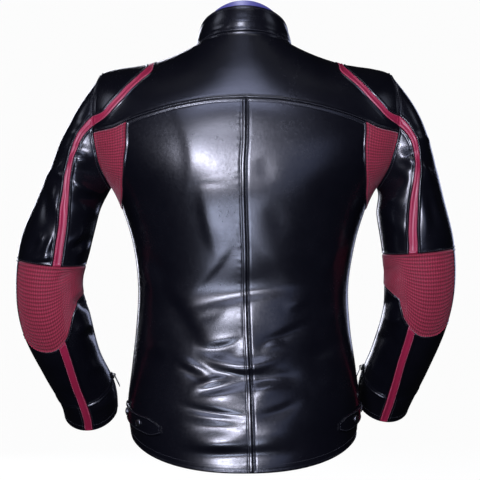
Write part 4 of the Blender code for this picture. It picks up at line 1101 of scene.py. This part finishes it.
    def wall(self, turn, station):
        away = self.out(turn, station)
        on_seam = station < ON_SEAM
        if on_seam.any():
            seam = armhole(turn)
            beside = self.torso.out(seam[..., 0], seam[..., 1])
            away = np.where(on_seam[..., None], halved(away, beside), away)
        return away

    def stripe(self, station):
        """Centre and half width of the stripe, evened out except at the armhole."""
        station = np.asarray(station, float)[..., None]
        near = station + STRIPE_SMOOTHING * smooth(0.0, STRIPE_SMOOTH_AT, station)
        centre = np.interp(near, STRIPE_ON_SLEEVE[:, 0], STRIPE_ON_SLEEVE[:, 1])
        half = np.interp(near, STRIPE_ON_SLEEVE[:, 0], STRIPE_ON_SLEEVE[:, 2])
        return centre.mean(axis=-1), half.mean(axis=-1)


# ---- collar surface ----
# The form of a stand collar, cut in one band. It leans back with the neck and wrinkles at
# the sides where the shoulders pull on it. Its table has the columns of the torso's.
COLLAR = np.array([
    (-0.006, 0.0735, 0.064, 0.016, -0.074, -0.062, 2.0, 1.4, 0.0),
    (0.006, 0.0705, 0.060, 0.037, -0.0755, -0.040, 2.0, 1.0, 0.0),
    (0.016, 0.0655, 0.053, 0.055, -0.0740, -0.018, 2.0, 0.75, 0.0),
])
COLLAR_END = 0.0015
COLLAR_CREASES_WHOLE_AT = 0.5
COLLAR_BACK_CREASES = [
    (52, 16, 20, 27, 4, 1.2, 4, 0.0),
    (-52, 14, -22, 26, -4, 1.0, 4, 0.0),
    (66, 4, 50, 14, 2, 1.4, 3.5, 0.0),
    (-68, 2, -52, 14, -2, 1.6, 3.5, 0.0),
    (-70, 12, -56, 20, -2, -1.2, 3, 0.0),
    (30, 33, -28, 33, 3, 0.9, 5, 0.0),
]
COLLAR_FRONT_CREASES = [
    (62, -20, 40, -32, -2, 1.0, 4, 0.0),
    (-62, -22, -38, -34, 2, 1.0, 4, 0.0),
]


class Collar(Surface):
    """The stand collar's surface on one side, by angle and level."""

    step = 0.02
    back_creases, front_creases = COLLAR_BACK_CREASES, COLLAR_FRONT_CREASES

    def __init__(self, side):
        self.mirror = self.turned = 1 if side == "left" else -1
        self.side = side

    def base(self, angle, level):
        return ring_point(between(COLLAR, level), angle, self.mirror)

    def point(self, angle, level):
        place, away = self.base(angle, level), self.out(angle, level)
        fading = (smooth(0.0, COLLAR_CREASES_WHOLE_AT, level) * np.ones_like(angle))[..., None]
        return place + (self.raised(place, away) - place) * fading

    def wall(self, angle, level):
        away = self.out(angle, level)
        on_neck = (level < ON_SEAM) & np.ones(np.shape(angle), bool)
        if on_neck.any():
            beside = Torso(self.side).out(angle, np.full_like(angle, NECK_LEVEL))
            away = np.where(on_neck[..., None], halved(away, beside), away)
        return away


sleeves = {side: Sleeve(side) for side in ("left", "right")}
collars = {side: Collar(side) for side in ("left", "right")}

# ---- collar and its lining ----
# The outer band is cowhide, doubled over at the top. Inside it is a blue-violet satin
# lining that stands a little above the band at the back.
SEAM_GAP = 0.0003
LINING_WALL = 0.0012
LINING_RIM = 0.0080
LINING_RIM_HALF_WIDTH = 0.048
LINING_RIM_LEAST = 0.0012
LINING_STARTS_AT = 0.12
LINING_RIM_STEPS = 4
COLLAR_POINTS_AROUND = 121
COLLAR_POINTS_UP = 25

neck_half_width = TORSO[-1, TORSO_COLUMNS.index("half_width")]
collar_start = -90.0 + math.degrees(COLLAR_END / neck_half_width)
collar_blocks, lining_blocks = [], []
for side in ("left", "right"):
    collar = collars[side]
    around = np.linspace(collar_start, 90.0, COLLAR_POINTS_AROUND)
    up = np.linspace(0, len(COLLAR) - 1, COLLAR_POINTS_UP)
    angle, level = np.meshgrid(around, up)
    points, away = laid(collar, np.stack([angle, level], axis=-1))
    collar_blocks.append((points, away))
    first = int(round(LINING_STARTS_AT / 2 * (len(up) - 1)))
    inside = points[first:] - away[first:] * (WALL + SEAM_GAP)
    rim = np.clip(1 - (inside[-1, :, 0] / LINING_RIM_HALF_WIDTH) ** 2, 0, 1)
    rim = np.where(inside[-1, :, 1] > 0, rim, 0) * LINING_RIM
    raised = np.outer(np.maximum(rim, LINING_RIM_LEAST), (0, 0, 1))
    extra = [inside[-1] + raised * k / LINING_RIM_STEPS
             for k in range(1, LINING_RIM_STEPS + 1)]
    lining_blocks.append((np.vstack([inside, extra]),
                          np.vstack([away[first:], [away[-1]] * LINING_RIM_STEPS])))
cloth("collar", collar_blocks, black_leather, violet_satin)
cloth("collar_lining", lining_blocks, violet_satin, violet_satin, LINING_WALL,
      np.zeros_like, 0.0, "violet_lining")

# ---- ribbed panels ----
# Stretch fabric in crimson, sewn in below the arms and over the elbows. Ribs run across
# it, and shallower furrows down it part them into small squares.
# their colour is painted darker in the grooves as shade and lighter on the crests as highlight
RIB_PITCH = 0.0040
FURROW_PITCH = 0.0037
RIB_HEIGHT = 0.0010
FURROW_DEPTH = 0.0008
RIB_SAMPLES = 4
FURROW_SAMPLES = 4
UNDERARM_SEAM = [(0.0, 6.35), (0.0, 7.15)]


def ribbed_lines(lengths, pitch, samples):
    """Steps at an even share of the rib pitch, and the phase at each in turns."""
    travelled = summed(lengths)
    ribs = max(1, round(travelled[-1] / pitch))
    phase = np.linspace(0, ribs, ribs * samples + 1)
    return np.interp(phase / ribs * travelled[-1], travelled,
                     np.arange(len(travelled))), phase


def rib_heights(points, down_phase, over_phase):
    """Heights of the ribs, lower where they crowd together."""
    room = np.linalg.norm(np.diff(points, axis=0), axis=2)
    room = np.vstack([room, room[-1:]]) / room.mean()
    ribs = RIB_HEIGHT * (0.5 - 0.5 * np.cos(2 * math.pi * down_phase))[:, None]
    furrows = FURROW_DEPTH * (0.5 - 0.5 * np.cos(2 * math.pi * over_phase))[None, :]
    return ribs * np.minimum(room, 1) + furrows


def ribbed_panel(name, surface, placed, rows, columns):
    """A ribbed panel; placed gives surface coordinates from steps down and across it."""
    whole = placed(np.arange(rows + 1.0), np.arange(columns + 1.0))
    down_lengths, over_lengths = measured(surface.base(whole[..., 0], whole[..., 1]))
    down, down_phase = ribbed_lines(down_lengths, RIB_PITCH, RIB_SAMPLES)
    over, over_phase = ribbed_lines(over_lengths, FURROW_PITCH, FURROW_SAMPLES)
    grid = laid(surface, placed(down, over))
    cloth(name, [grid], red_fabric, violet_satin, material_slot="red_ribbed_fabric",
          own=rib_heights(grid[0], down_phase, over_phase))


def fabric(name, dark, light):
    """Knitted crimson stretch fabric: matt yarn with a slight sheen, and painted shade in its
    grooves.
    """
    look = Look(name, sheen_weight=0.25, sheen_roughness=0.4, specular_ior_level=0.35)
    yarn = look.noise(scale=2200.0, detail=2.0, roughness=0.6)
    wear = look.noise(scale=40.0, detail=3.0)
    # rise of the ribs, low in the grooves and high on the crests; Base Color follows it as
    # painted shade and painted highlight
    raised = look.node("ShaderNodeAttribute", {"attribute_name": "raised"}, {}, "Fac")
    look.set("Base Color", look.mixed(raised ** 1.3 * (0.75 + wear * 0.4), dark, light))
    look.set("Roughness", 0.62 + wear * 0.14)
    look.bump(yarn, strength=0.25, distance=0.0006)
    return look.material


# dark is the painted shade in the grooves, light the painted highlight on the ribs' crests
red_fabric = fabric("crimson_rib_fabric", dark=(0.10, 0.004, 0.011),
                    light=(0.40, 0.028, 0.060))
yoke_side = drawn(plain, YOKE_SEAM_SIDE, UNDERARM_STEPS)
yoke_side.places[-1] = armhole(YOKE_END_DEG)
underarm = drawn(plain, UNDERARM_SEAM, UNDERARM_STEPS)
borders = (underarm, yoke_side, princess, on_armhole(under_turns))
for side in ("left", "right"):
    ribbed_panel(f"side_panel_{side}", Torso(side),
                 lambda down, over: blended(*borders, down, over),
                 PRINCESS_STEPS, UNDERARM_STEPS)
for side, sleeve in sleeves.items():
    top, low = sleeve.row["top"], sleeve.row["low"]
    ribbed_panel(f"elbow_patch_{side}", sleeve,
                 lambda down, over: sleeve.domain(top + down, over),
                 low - top, PATCH_COLUMN)

# ---- back yoke ----
# One piece of cowhide over both shoulder blades, up to the collar. It is sewn to the back
# panels in a turned seam, with two rows of stitches below it and one above.
NECK_BACK_STEPS = BACK_STEPS + 2
SHOULDER_TURN_DEG = -16.0
SHOULDER_STEPS = 3
STRIPE_INNER = [(27.9, 9.01), (33.6, 9.22), (37.4, 9.50), (39.7, 9.98), (35.8, 10.46),
                (27.5, 10.82), (8.0, 11.02), (-16.0, 11.05)]
SHOULDER_SEAM_INNER = [(-16.0, 12.0), (-16.0, 11.5), (-16.0, 11.05)]
YOKE_CENTRE = [(90.0, 10.26), (90.0, 11.0), (90.0, 12.0)]
YOKE_RELAX = 2
stripe_in = drawn(plain, STRIPE_INNER, STRIPE_STEPS)
stripe_in.places[0] = armhole(STRIPE_STARTS_DEG)
shoulder_in = drawn(plain, SHOULDER_SEAM_INNER, SHOULDER_STEPS)
neck_back = Seam([0, NECK_BACK_STEPS], [(90.0, NECK_LEVEL), (SHOULDER_TURN_DEG, NECK_LEVEL)])
centre_yoke = drawn(plain, YOKE_CENTRE, 1 + STRIPE_STEPS + SHOULDER_STEPS)
yoke_edge = joined(on_armhole([YOKE_END_DEG, STRIPE_STARTS_DEG]), stripe_in,
                   shoulder_in.back())
yoke_net = Net(joined(yoke_back, yoke_side), neck_back, centre_yoke, yoke_edge, YOKE_RELAX)
cloth("back_yoke", [yoke_net.laid_on(Torso(side), PITCH) for side in ("left", "right")],
      black_leather, violet_satin)

# ---- shoulder stripes and caps ----
# A crimson strip of cowhide curves from the neck over each shoulder to the armhole. The
# black cap outside it makes the shoulder's point.
STRIPE_OUTER = [(26.2, 9.25), (31.5, 9.38), (34.0, 9.57), (35.7, 10.05), (29.2, 10.52),
                (15.2, 10.87), (0.0, 10.93), (-16.0, 10.94)]
SHOULDER_SEAM_OUTER = [(-16.0, 10.94), (-13.5, 10.5), (-9.9, 10.0)]
CAP_STEPS = 3
STRIPE_PITCH = 0.0022
red_leather = leather("crimson_cowhide", dark=(0.22, 0.009, 0.030),
                      light=(0.36, 0.018, 0.060), gloss=0.40)
stripe_out = drawn(plain, STRIPE_OUTER, STRIPE_STEPS)
stripe_out.places[0] = armhole(CAP_STARTS_DEG)
shoulder_out = drawn(plain, SHOULDER_SEAM_OUTER, CAP_STEPS)
shoulder_out.places[-1] = armhole(ARMHOLE_TOP_DEG)
stripe_end = Seam([0, 1], [stripe_in.places[-1], stripe_out.places[-1]])
cap_tip = Seam([0, CAP_STEPS], [stripe_out.places[0]] * 2)
stripe_net = Net(on_armhole(stripe_turns), stripe_end, stripe_in, stripe_out)
cap_net = Net(cap_tip, shoulder_out, stripe_out, on_armhole(cap_turns))
for side in ("left", "right"):
    cloth(f"shoulder_stripe_{side}", [stripe_net.laid_on(Torso(side), STRIPE_PITCH)],
          red_leather, violet_satin, material_slot="red_leather")
    cloth(f"shoulder_cap_{side}", [cap_net.laid_on(Torso(side), PITCH)], black_leather,
          violet_satin)

# ---- fronts and the front zip's tapes ----
# The hidden front: one plain panel of cowhide a side, from the side seam to the zip. The
# woven tape lies a little below the panel's edge, which is stitched down along it.
FRONT_ZIP_HALF_WIDTH = 0.0100
NECK_FRONT_STEPS = FRONT_STEPS
FRONT_RELAX = 30
FRONT_PITCH = 0.0044
TAPE_WALL = 0.0012
TAPE_SINK = 0.0004
FRONT_EDGE_SAMPLES = 61


def front_edge_angle(level):
    """Angle of the front panel's edge beside the zip, at a level."""
    half_width = between(TORSO, level)[..., TORSO_COLUMNS.index("half_width")]
    return -90.0 + np.degrees(FRONT_ZIP_HALF_WIDTH / half_width)


front_rows = (SIDE_STEPS + UNDERARM_STEPS + ARMHOLE_FRONT_STEPS + CAP_STEPS + 1
              + SHOULDER_STEPS)
centre_levels = np.linspace(0, NECK_LEVEL, FRONT_EDGE_SAMPLES)
centre_line = drawn(plain, [(-90.0, level) for level in centre_levels], front_rows)
front_edge = Seam(centre_line.steps, np.stack([front_edge_angle(centre_line.places[:, 1]),
                                               centre_line.places[:, 1]], axis=-1))
hem_front = Seam([0, FRONT_STEPS], [front_edge.places[0], (0.0, 0.0)])
neck_front = Seam([0, NECK_FRONT_STEPS], [front_edge.places[-1],
                                          (SHOULDER_TURN_DEG, NECK_LEVEL)])


def woven(name, dark, light):
    """Zip tape woven from polyester."""
    look = Look(name, specular_ior_level=0.3)
    weave = look.node("ShaderNodeTexWave", {"bands_direction": "DIAGONAL"},
                      {"Vector": look.place, "Scale": 900.0}, "Fac")
    look.set("Base Color", look.mixed(weave, dark, light))
    look.set("Roughness", 0.75 + weave * 0.1)
    look.bump(weave, strength=0.35, distance=0.0005)
    return look.material


zip_tape = woven("black_zip_tape", dark=(0.008, 0.008, 0.010), light=(0.028, 0.028, 0.032))
front_side = joined(side_seam, underarm, on_armhole(front_turns[::-1]),
                    shoulder_out.back(), stripe_end.back(), shoulder_in.back())
front_net = Net(hem_front, neck_front, front_edge, front_side, FRONT_RELAX)
tape_net = Net(Seam([0, 1], [centre_line.places[0], front_edge.places[0]]),
               Seam([0, 1], [centre_line.places[-1], front_edge.places[-1]]),
               centre_line, front_edge)
for side in ("left", "right"):
    cloth(f"front_{side}", [front_net.laid_on(Torso(side), FRONT_PITCH)], black_leather,
          violet_satin)
    cloth(f"front_zip_tape_{side}", [tape_net.laid_on(Torso(side), FRONT_PITCH)],
          zip_tape, zip_tape, TAPE_WALL, np.zeros_like, TAPE_SINK, "zip_tape")

# ---- sleeves ----
# Upper sleeve and forearm are cut in an outer and an under half with a crimson strip
# between them at the back. The cuff's slit at the inside has a zip's tape on each edge
# and stands open.
for side, sleeve in sleeves.items():
    top, low = sleeve.row["top"], sleeve.row["low"]
    zip_row, cuff = sleeve.row["zip"], sleeve.row["cuff"]
    cuts = {
        "upper_sleeve_outer": [((0, top), (CAP_COLUMN, LAST_COLUMN))],
        "upper_sleeve_under": [((0, top), (0, STRIPE_COLUMN))],
        "upper_sleeve_stripe": [((0, top), (STRIPE_COLUMN, CAP_COLUMN))],
        "forearm_outer": [
            ((top, low), (PATCH_COLUMN, LAST_COLUMN - 1, LAST_COLUMN)),
            ((low, zip_row), (CAP_COLUMN, PATCH_COLUMN, LAST_COLUMN - 1, LAST_COLUMN)),
            ((zip_row, cuff), (CAP_COLUMN, PATCH_COLUMN, LAST_COLUMN - 1))],
        "forearm_under": [((low, zip_row), (0, 1, STRIPE_COLUMN)),
                          ((zip_row, cuff), (1, STRIPE_COLUMN))],
        "forearm_stripe": [((low, cuff), (STRIPE_COLUMN, CAP_COLUMN))],
        "cuff_zip_tape_back": [((zip_row, cuff), (0, 1))],
        "cuff_zip_tape_front": [((zip_row, cuff), (LAST_COLUMN - 1, LAST_COLUMN))],
    }
    for name, stops in cuts.items():
        look, material_slot, wall, sink, relief = (black_leather, "black_leather", WALL,
                                                   0.0, seam_relief)
        if "stripe" in name:
            look, material_slot = red_leather, "red_leather"
        if "tape" in name:
            look, material_slot, wall, sink = zip_tape, "zip_tape", TAPE_WALL, TAPE_SINK
            relief = np.zeros_like
        cloth(f"{name}_{side}", [sleeve.grid(rows, columns) for rows, columns in stops],
              look, violet_satin, wall, relief, sink, material_slot,
              stacked=True)

# ---- hem adjusters ----
# A narrow strap of the same hide at each side of the hem, sewn to the front panel and
# carried over the side seam, with a tongue end and two domed gunmetal snaps.
# reach in the panels' own steps, in front of and behind the side seam and up the hem
STRAP_FRONT_COLUMNS = 2.6
STRAP_BACK_COLUMNS = 3.3
STRAP_ROWS = (1.06, 1.98)
STRAP_WALL = 0.0022
STRAP_TAPER = 0.32
TONGUE_COLUMNS = 0.5
TONGUE_EASE = 2.2
STRAP_POINTS_ALONG = 67
STRAP_POINTS_ACROSS = 19
LAY_GAP = 0.0005
SNAP_PLACES = {"outer": 0.62, "inner": 2.75}
# the snap cap's turned outline; columns: radius and height in millimetres
SNAP_OUTLINE = [(0.0, 2.5), (1.6, 2.4), (2.9, 2.05), (3.9, 1.5), (4.3, 1.15), (4.6, 1.1),
                (5.0, 1.35), (5.5, 1.25), (5.8, 0.8), (5.8, 0.0)]
SNAP_SIDES = 32
SNAP_SHARP_DEG = 40


def across_side_seam(surface, rows, columns):
    """Points and directions by rows above the hem and columns behind the side seam."""
    before, behind = columns[columns < 0], columns[columns >= 0]
    domain = np.concatenate([front_net.domain(rows, FRONT_STEPS + before),
                             back_net.domain(rows, BACK_STEPS - behind)], axis=1)
    return laid(surface, domain)


def turned(outline, sides):
    """Vertices and faces of an outline of radii and heights turned round its axis."""
    turns = np.arange(sides) * 2 * math.pi / sides
    rings = [[(r * math.cos(t), r * math.sin(t), h) for t in turns] for r, h in outline]
    faces = []
    for k in range(len(outline) - 1):
        for i in range(sides):
            j = (i + 1) % sides
            faces.append((k * sides + i, (k + 1) * sides + i, (k + 1) * sides + j,
                          k * sides + j))
    return np.array(rings).reshape(-1, 3), faces


def plated(name, dark, light, gloss):
    """Gunmetal plating with fine brushing, darker in its worn hollows."""
    look = Look(name, metallic=1.0)
    brushed = look.noise(scale=3000.0, detail=2.0)
    worn = look.noise(scale=420.0, detail=3.0, roughness=0.6)
    look.set("Base Color", look.mixed(worn, dark, light))
    look.set("Roughness", gloss + worn * 0.16 + brushed * 0.06)
    look.bump(brushed * 0.4 + worn * 0.3, strength=0.08, distance=0.0003)
    return look.material


gunmetal = plated("gunmetal", dark=(0.10, 0.10, 0.11), light=(0.34, 0.34, 0.36),
                  gloss=0.20)
snap_points, snap_faces = turned(np.array(SNAP_OUTLINE) / 1000, SNAP_SIDES)
for side in ("left", "right"):
    surface = Torso(side)
    low_row, high_row = STRAP_ROWS
    middle_row, half_rows = (low_row + high_row) / 2, (high_row - low_row) / 2
    columns = np.linspace(-STRAP_FRONT_COLUMNS, STRAP_BACK_COLUMNS,
                          STRAP_POINTS_ALONG)
    share = np.linspace(-1, 1, STRAP_POINTS_ACROSS)
    near_end = np.clip((columns - STRAP_BACK_COLUMNS) / TONGUE_COLUMNS + 1, 0, 1)
    half = half_rows * (1 - 2 * STRAP_TAPER * near_end ** TONGUE_EASE)
    points, away = across_side_seam(surface, middle_row + share * half_rows, columns)
    row = (share[:, None] * half[None, :] / half_rows + 1) / 2 * (len(share) - 1)
    low = np.clip(np.floor(row).astype(int), 0, len(share) - 2)
    part, column = (row - low)[..., None], np.arange(len(columns))[None, :]
    points = points[low, column] * (1 - part) + points[low + 1, column] * part
    away = unit(away[low, column])
    lift = LAY_GAP + STRAP_WALL
    cloth(f"hem_strap_{side}", [(points + away * lift, away)], black_leather,
          black_leather, STRAP_WALL)
    for label, place in SNAP_PLACES.items():
        middle, up = (values[0, 0] for values in across_side_seam(
            surface, np.array([middle_row]), np.array([place])))
        up = Vector(up).normalized()
        turn = up.to_track_quat("Z", "Y").to_matrix()
        foot = Vector(middle) + up * (lift + LAY_GAP)
        placed = snap_points @ np.array(turn).T + np.array(foot)
        mesh = bpy.data.meshes.new(f"hem_snap_{label}_{side}_dome")
        mesh.from_pydata(placed, [], snap_faces)
        mesh.materials.append(gunmetal)
        mesh.shade_smooth()
        mesh.set_sharp_from_angle(angle=math.radians(SNAP_SHARP_DEG))
        put_in_scene(mesh.name, mesh, f"hem_snap_{label}_{side}", "gunmetal")

# ---- topstitching ----
# Bonded polyester thread: two rows along the yoke seam and the armholes, one beside the
# other seams, along both edges of each stripe and round the hem and cuffs. Every stitch
# sinks at its ends into the hide.
STITCH_PITCH = 0.0036
STITCH_LENGTH = 0.0028
STITCH_RADIUS = 0.00036
STITCH_SIDES = 5
STITCH_RISE = 0.25
STITCH_TIP_DEPTH = 0.6
ROOM_BEYOND_ROW = 1.5
# distances of the rows from the edge that they follow
BESIDE_SEAM = (0.0028,)
TWO_ROWS = (0.0026, 0.0068)
ON_STRIPE = (0.0012,)
HEM_ROW = (0.0120,)
COLLAR_TOP_ROW = (0.0045,)
ZIP_ROW = (0.0040,)
WELT_ROW = (WELT_WIDTH,)
# columns: piece, number of its grid, side of it, distances of the rows from that side
BOTH_SIDES_OF_BODY = [
    ("back", 0, "upper", TWO_ROWS), ("back", 0, "right", BESIDE_SEAM),
    ("back", 0, "lower", HEM_ROW),
    ("front", 0, "left", ZIP_ROW), ("front", 0, "lower", HEM_ROW),
    ("front", 0, "right", BESIDE_SEAM),
    ("shoulder_cap", 0, "left", BESIDE_SEAM), ("shoulder_cap", 0, "right", BESIDE_SEAM),
    ("hem_strap", 0, "lower", BESIDE_SEAM), ("hem_strap", 0, "upper", BESIDE_SEAM),
    ("hem_strap", 0, "right", BESIDE_SEAM),
]
EACH_SLEEVE = [
    ("upper_sleeve_outer", 0, "lower", TWO_ROWS), ("upper_sleeve_under", 0, "lower", TWO_ROWS),
    ("upper_sleeve_outer", 0, "left", BESIDE_SEAM),
    ("upper_sleeve_under", 0, "right", BESIDE_SEAM),
    ("upper_sleeve_outer", 0, "upper", BESIDE_SEAM),
    ("upper_sleeve_under", 0, "upper", BESIDE_SEAM),
    ("forearm_outer", 0, "left", BESIDE_SEAM), ("forearm_outer", 0, "lower", BESIDE_SEAM),
    ("forearm_outer", 2, "upper", HEM_ROW), ("forearm_outer", 2, "right", BESIDE_SEAM),
    ("forearm_outer", 2, "left", BESIDE_SEAM), ("forearm_under", 0, "lower", BESIDE_SEAM),
    ("forearm_under", 1, "upper", HEM_ROW), ("forearm_under", 1, "left", BESIDE_SEAM),
    ("forearm_under", 1, "right", BESIDE_SEAM),
]
ROWS_OF_STITCHES = {"body": [("back_left", 0, "left", WELT_ROW)]}
for half in (0, 1):
    ROWS_OF_STITCHES["body"] += [
        ("back_yoke", half, "lower", BESIDE_SEAM), ("back_yoke", half, "upper", BESIDE_SEAM),
        ("collar", half, "lower", BESIDE_SEAM), ("collar", half, "upper", COLLAR_TOP_ROW)]
for side in ("left", "right"):
    ROWS_OF_STITCHES["body"] += [(f"{part}_{side}", *row)
                                 for part, *row in BOTH_SIDES_OF_BODY]
    ROWS_OF_STITCHES[f"sleeve_{side}"] = [(f"{part}_{side}", *row)
                                          for part, *row in EACH_SLEEVE]
ROWS_OF_STITCHES["stripes"] = [
    (f"{part}_{side}", 0, edge, ON_STRIPE) for side in ("left", "right")
    for part in ("shoulder_stripe", "upper_sleeve_stripe", "forearm_stripe")
    for edge in ("left", "right")]


def beside(grid, edge, apart):
    """Points and directions on a finished grid at a distance in from one side of it."""
    points, away = grid
    if edge in ("left", "right"):
        points, away = points.transpose(1, 0, 2), away.transpose(1, 0, 2)
    if edge in ("upper", "right"):
        points, away = points[::-1], away[::-1]
    steps = np.linalg.norm(np.diff(points, axis=0), axis=2)
    travelled = np.vstack([np.zeros(points.shape[1]), np.cumsum(steps, axis=0)])
    kept = np.arange(points.shape[1])[travelled[-1] > apart * ROOM_BEYOND_ROW]
    row = np.argmax(travelled[:, kept] >= apart, axis=0)
    low, high = travelled[row - 1, kept], travelled[row, kept]
    part = ((apart - low) / (high - low))[:, None]
    return points[row - 1, kept] * (1 - part) + points[row, kept] * part, away[row, kept]


def spread(line, pitch, trim):
    """Even places along a line: points, and directions along, across and off it."""
    points, away = line
    lengths = np.linalg.norm(np.diff(points, axis=0), axis=1)
    travelled = summed(lengths)
    places = np.arange(trim, travelled[-1] - trim, pitch)

    def at(values, where):
        return np.stack([np.interp(where, travelled, values[:, k]) for k in range(3)],
                        axis=-1)

    along = unit(at(points, places + pitch / 4) - at(points, places - pitch / 4))
    off = at(away, places)
    off = unit(off - along * np.sum(off * along, axis=-1, keepdims=True))
    return at(points, places), along, np.cross(off, along), off


def repeated(shape_points, shape_faces, places):
    """One mesh's points and faces from a small shape set at many places."""
    points, along, across, off = places
    made = (points[:, None] + along[:, None] * shape_points[None, :, :1]
            + across[:, None] * shape_points[None, :, 1:2]
            + off[:, None] * shape_points[None, :, 2:])
    count = len(shape_points)
    faces = [[corner + k * count for corner in face]
             for k in range(len(points)) for face in shape_faces]
    return made.reshape(-1, 3), faces


def thread(name, dark, light):
    """Twisted polyester thread with a dull sheen."""
    look = Look(name, specular_ior_level=0.4)
    twist = look.node("ShaderNodeTexWave", {"bands_direction": "DIAGONAL"},
                      {"Vector": look.place, "Scale": 1500.0}, "Fac")
    look.set("Base Color", look.mixed(twist, dark, light))
    look.set("Roughness", 0.46 + twist * 0.12)
    look.bump(twist, strength=0.3, distance=0.0002)
    return look.material


turns = np.arange(STITCH_SIDES) * 2 * math.pi / STITCH_SIDES
rings = [[(x, STITCH_RADIUS * math.cos(t), STITCH_RADIUS * (STITCH_RISE + math.sin(t)))
          for t in turns] for x in (-STITCH_LENGTH / 4, STITCH_LENGTH / 4)]
tips = [(sign * STITCH_LENGTH / 2, 0.0, -STITCH_RADIUS * STITCH_TIP_DEPTH)
        for sign in (-1, 1)]
stitch_points = np.array(rings[0] + rings[1] + tips)
stitch_faces = []
for i in range(STITCH_SIDES):
    j = (i + 1) % STITCH_SIDES
    stitch_faces += [(i, j, j + STITCH_SIDES, i + STITCH_SIDES),
                     (j, i, 2 * STITCH_SIDES),
                     (i + STITCH_SIDES, j + STITCH_SIDES, 2 * STITCH_SIDES + 1)]
black_thread = thread("black_thread", dark=(0.010, 0.010, 0.013), light=(0.045, 0.045, 0.052))
crimson_thread = thread("crimson_thread", dark=(0.50, 0.12, 0.17), light=(0.72, 0.24, 0.30))
for area, rows_of_area in ROWS_OF_STITCHES.items():
    all_points, all_faces, made = [], [], 0
    for node, number, edge, distances in rows_of_area:
        for apart in distances:
            line = beside(finished[node][number], edge, apart)
            points, faces = repeated(stitch_points, stitch_faces,
                                     spread(line, STITCH_PITCH, BESIDE_SEAM[0]))
            all_points.append(points)
            all_faces += [[corner + made for corner in face] for face in faces]
            made += len(points)
    mesh = bpy.data.meshes.new(f"stitches_{area}")
    mesh.from_pydata(np.vstack(all_points), [], all_faces)
    red = area == "stripes"
    mesh.materials.append(crimson_thread if red else black_thread)
    mesh.shade_smooth()
    put_in_scene(mesh.name, mesh, None, "red_leather" if red else "black_leather")

# ---- zip teeth, sliders and pulls ----
# Moulded metal teeth clamped on the tapes' edges: meshed down the closed front, apart on
# the open cuffs. The sliders and their pulls are cast in the same dark gunmetal.
TOOTH_PITCH = 0.0026
TOOTH_TRIM = 0.0015
TOOTH_INWARD = 0.0020
FRONT_TEETH_FROM_EDGE = 0.0006
CUFF_TEETH_FROM_EDGE = 0.0012
FRONT_SLIDER_LEVEL = 11.45
# a tooth's outline from its root to its head; columns: out, half width, height, in mm
TOOTH_OUTLINE = [(-3.0, 0.45, 0.2), (-2.6, 0.65, 0.9), (-0.6, 0.60, 1.1), (0.6, 0.45, 1.0),
                 (1.2, 0.25, 0.4)]
tooth_points = np.array([
    (side * half, out, height * level) for out, half, height in TOOTH_OUTLINE
    for side, level in ((-1, -0.5), (-1, 1), (1, 1), (1, -0.5))]) / 1000
tooth_faces = [(0, 1, 2, 3), (19, 18, 17, 16)]
for k in range(len(TOOTH_OUTLINE) - 1):
    for i in range(4):
        j = (i + 1) % 4
        tooth_faces.append((4 * k + j, 4 * k + i, 4 * k + 4 + i, 4 * k + 4 + j))


def teeth(name, node, edge, apart, until=None, shift=0.0):
    """A row of teeth along one side of a tape, their heads beyond its edge."""
    line = beside(finished[node][0], edge, apart)
    if until is not None:
        kept = line[0][:, 2] < until
        line = line[0][kept], line[1][kept]
    inward = beside(finished[node][0], edge, apart + TOOTH_INWARD)[0]
    points, along, across, off = spread(line, TOOTH_PITCH, TOOTH_TRIM + shift)
    nearest = np.argmin(np.linalg.norm(inward[None] - points[:, None], axis=2), axis=1)
    outward = np.sum(across * (points - inward[nearest]), axis=-1, keepdims=True)
    across = across * np.sign(outward)
    made, faces = repeated(tooth_points, tooth_faces, (points, along, across, off))
    mesh = bpy.data.meshes.new(name)
    mesh.from_pydata(made, [], faces)
    mesh.materials.append(gunmetal)
    shape = bmesh.new()
    shape.from_mesh(mesh)
    bmesh.ops.recalc_face_normals(shape, faces=shape.faces)
    shape.to_mesh(mesh)
    shape.free()
    put_in_scene(name, mesh, None, "gunmetal")


slider_z = float(plain.base(np.array(-90.0), np.array(FRONT_SLIDER_LEVEL))[2])
for number, side in enumerate(("left", "right")):
    teeth(f"front_zip_teeth_{side}", f"front_zip_tape_{side}", "left",
          FRONT_TEETH_FROM_EDGE, slider_z, number * TOOTH_PITCH / 2)
    teeth(f"cuff_zip_teeth_back_{side}", f"cuff_zip_tape_back_{side}", "left",
          CUFF_TEETH_FROM_EDGE)
    teeth(f"cuff_zip_teeth_front_{side}", f"cuff_zip_tape_front_{side}", "right",
          CUFF_TEETH_FROM_EDGE)
for name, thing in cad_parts.items():
    if name.endswith(("_slider", "_pull")):
        thing.data.materials.clear()
        thing.data.materials.append(gunmetal)
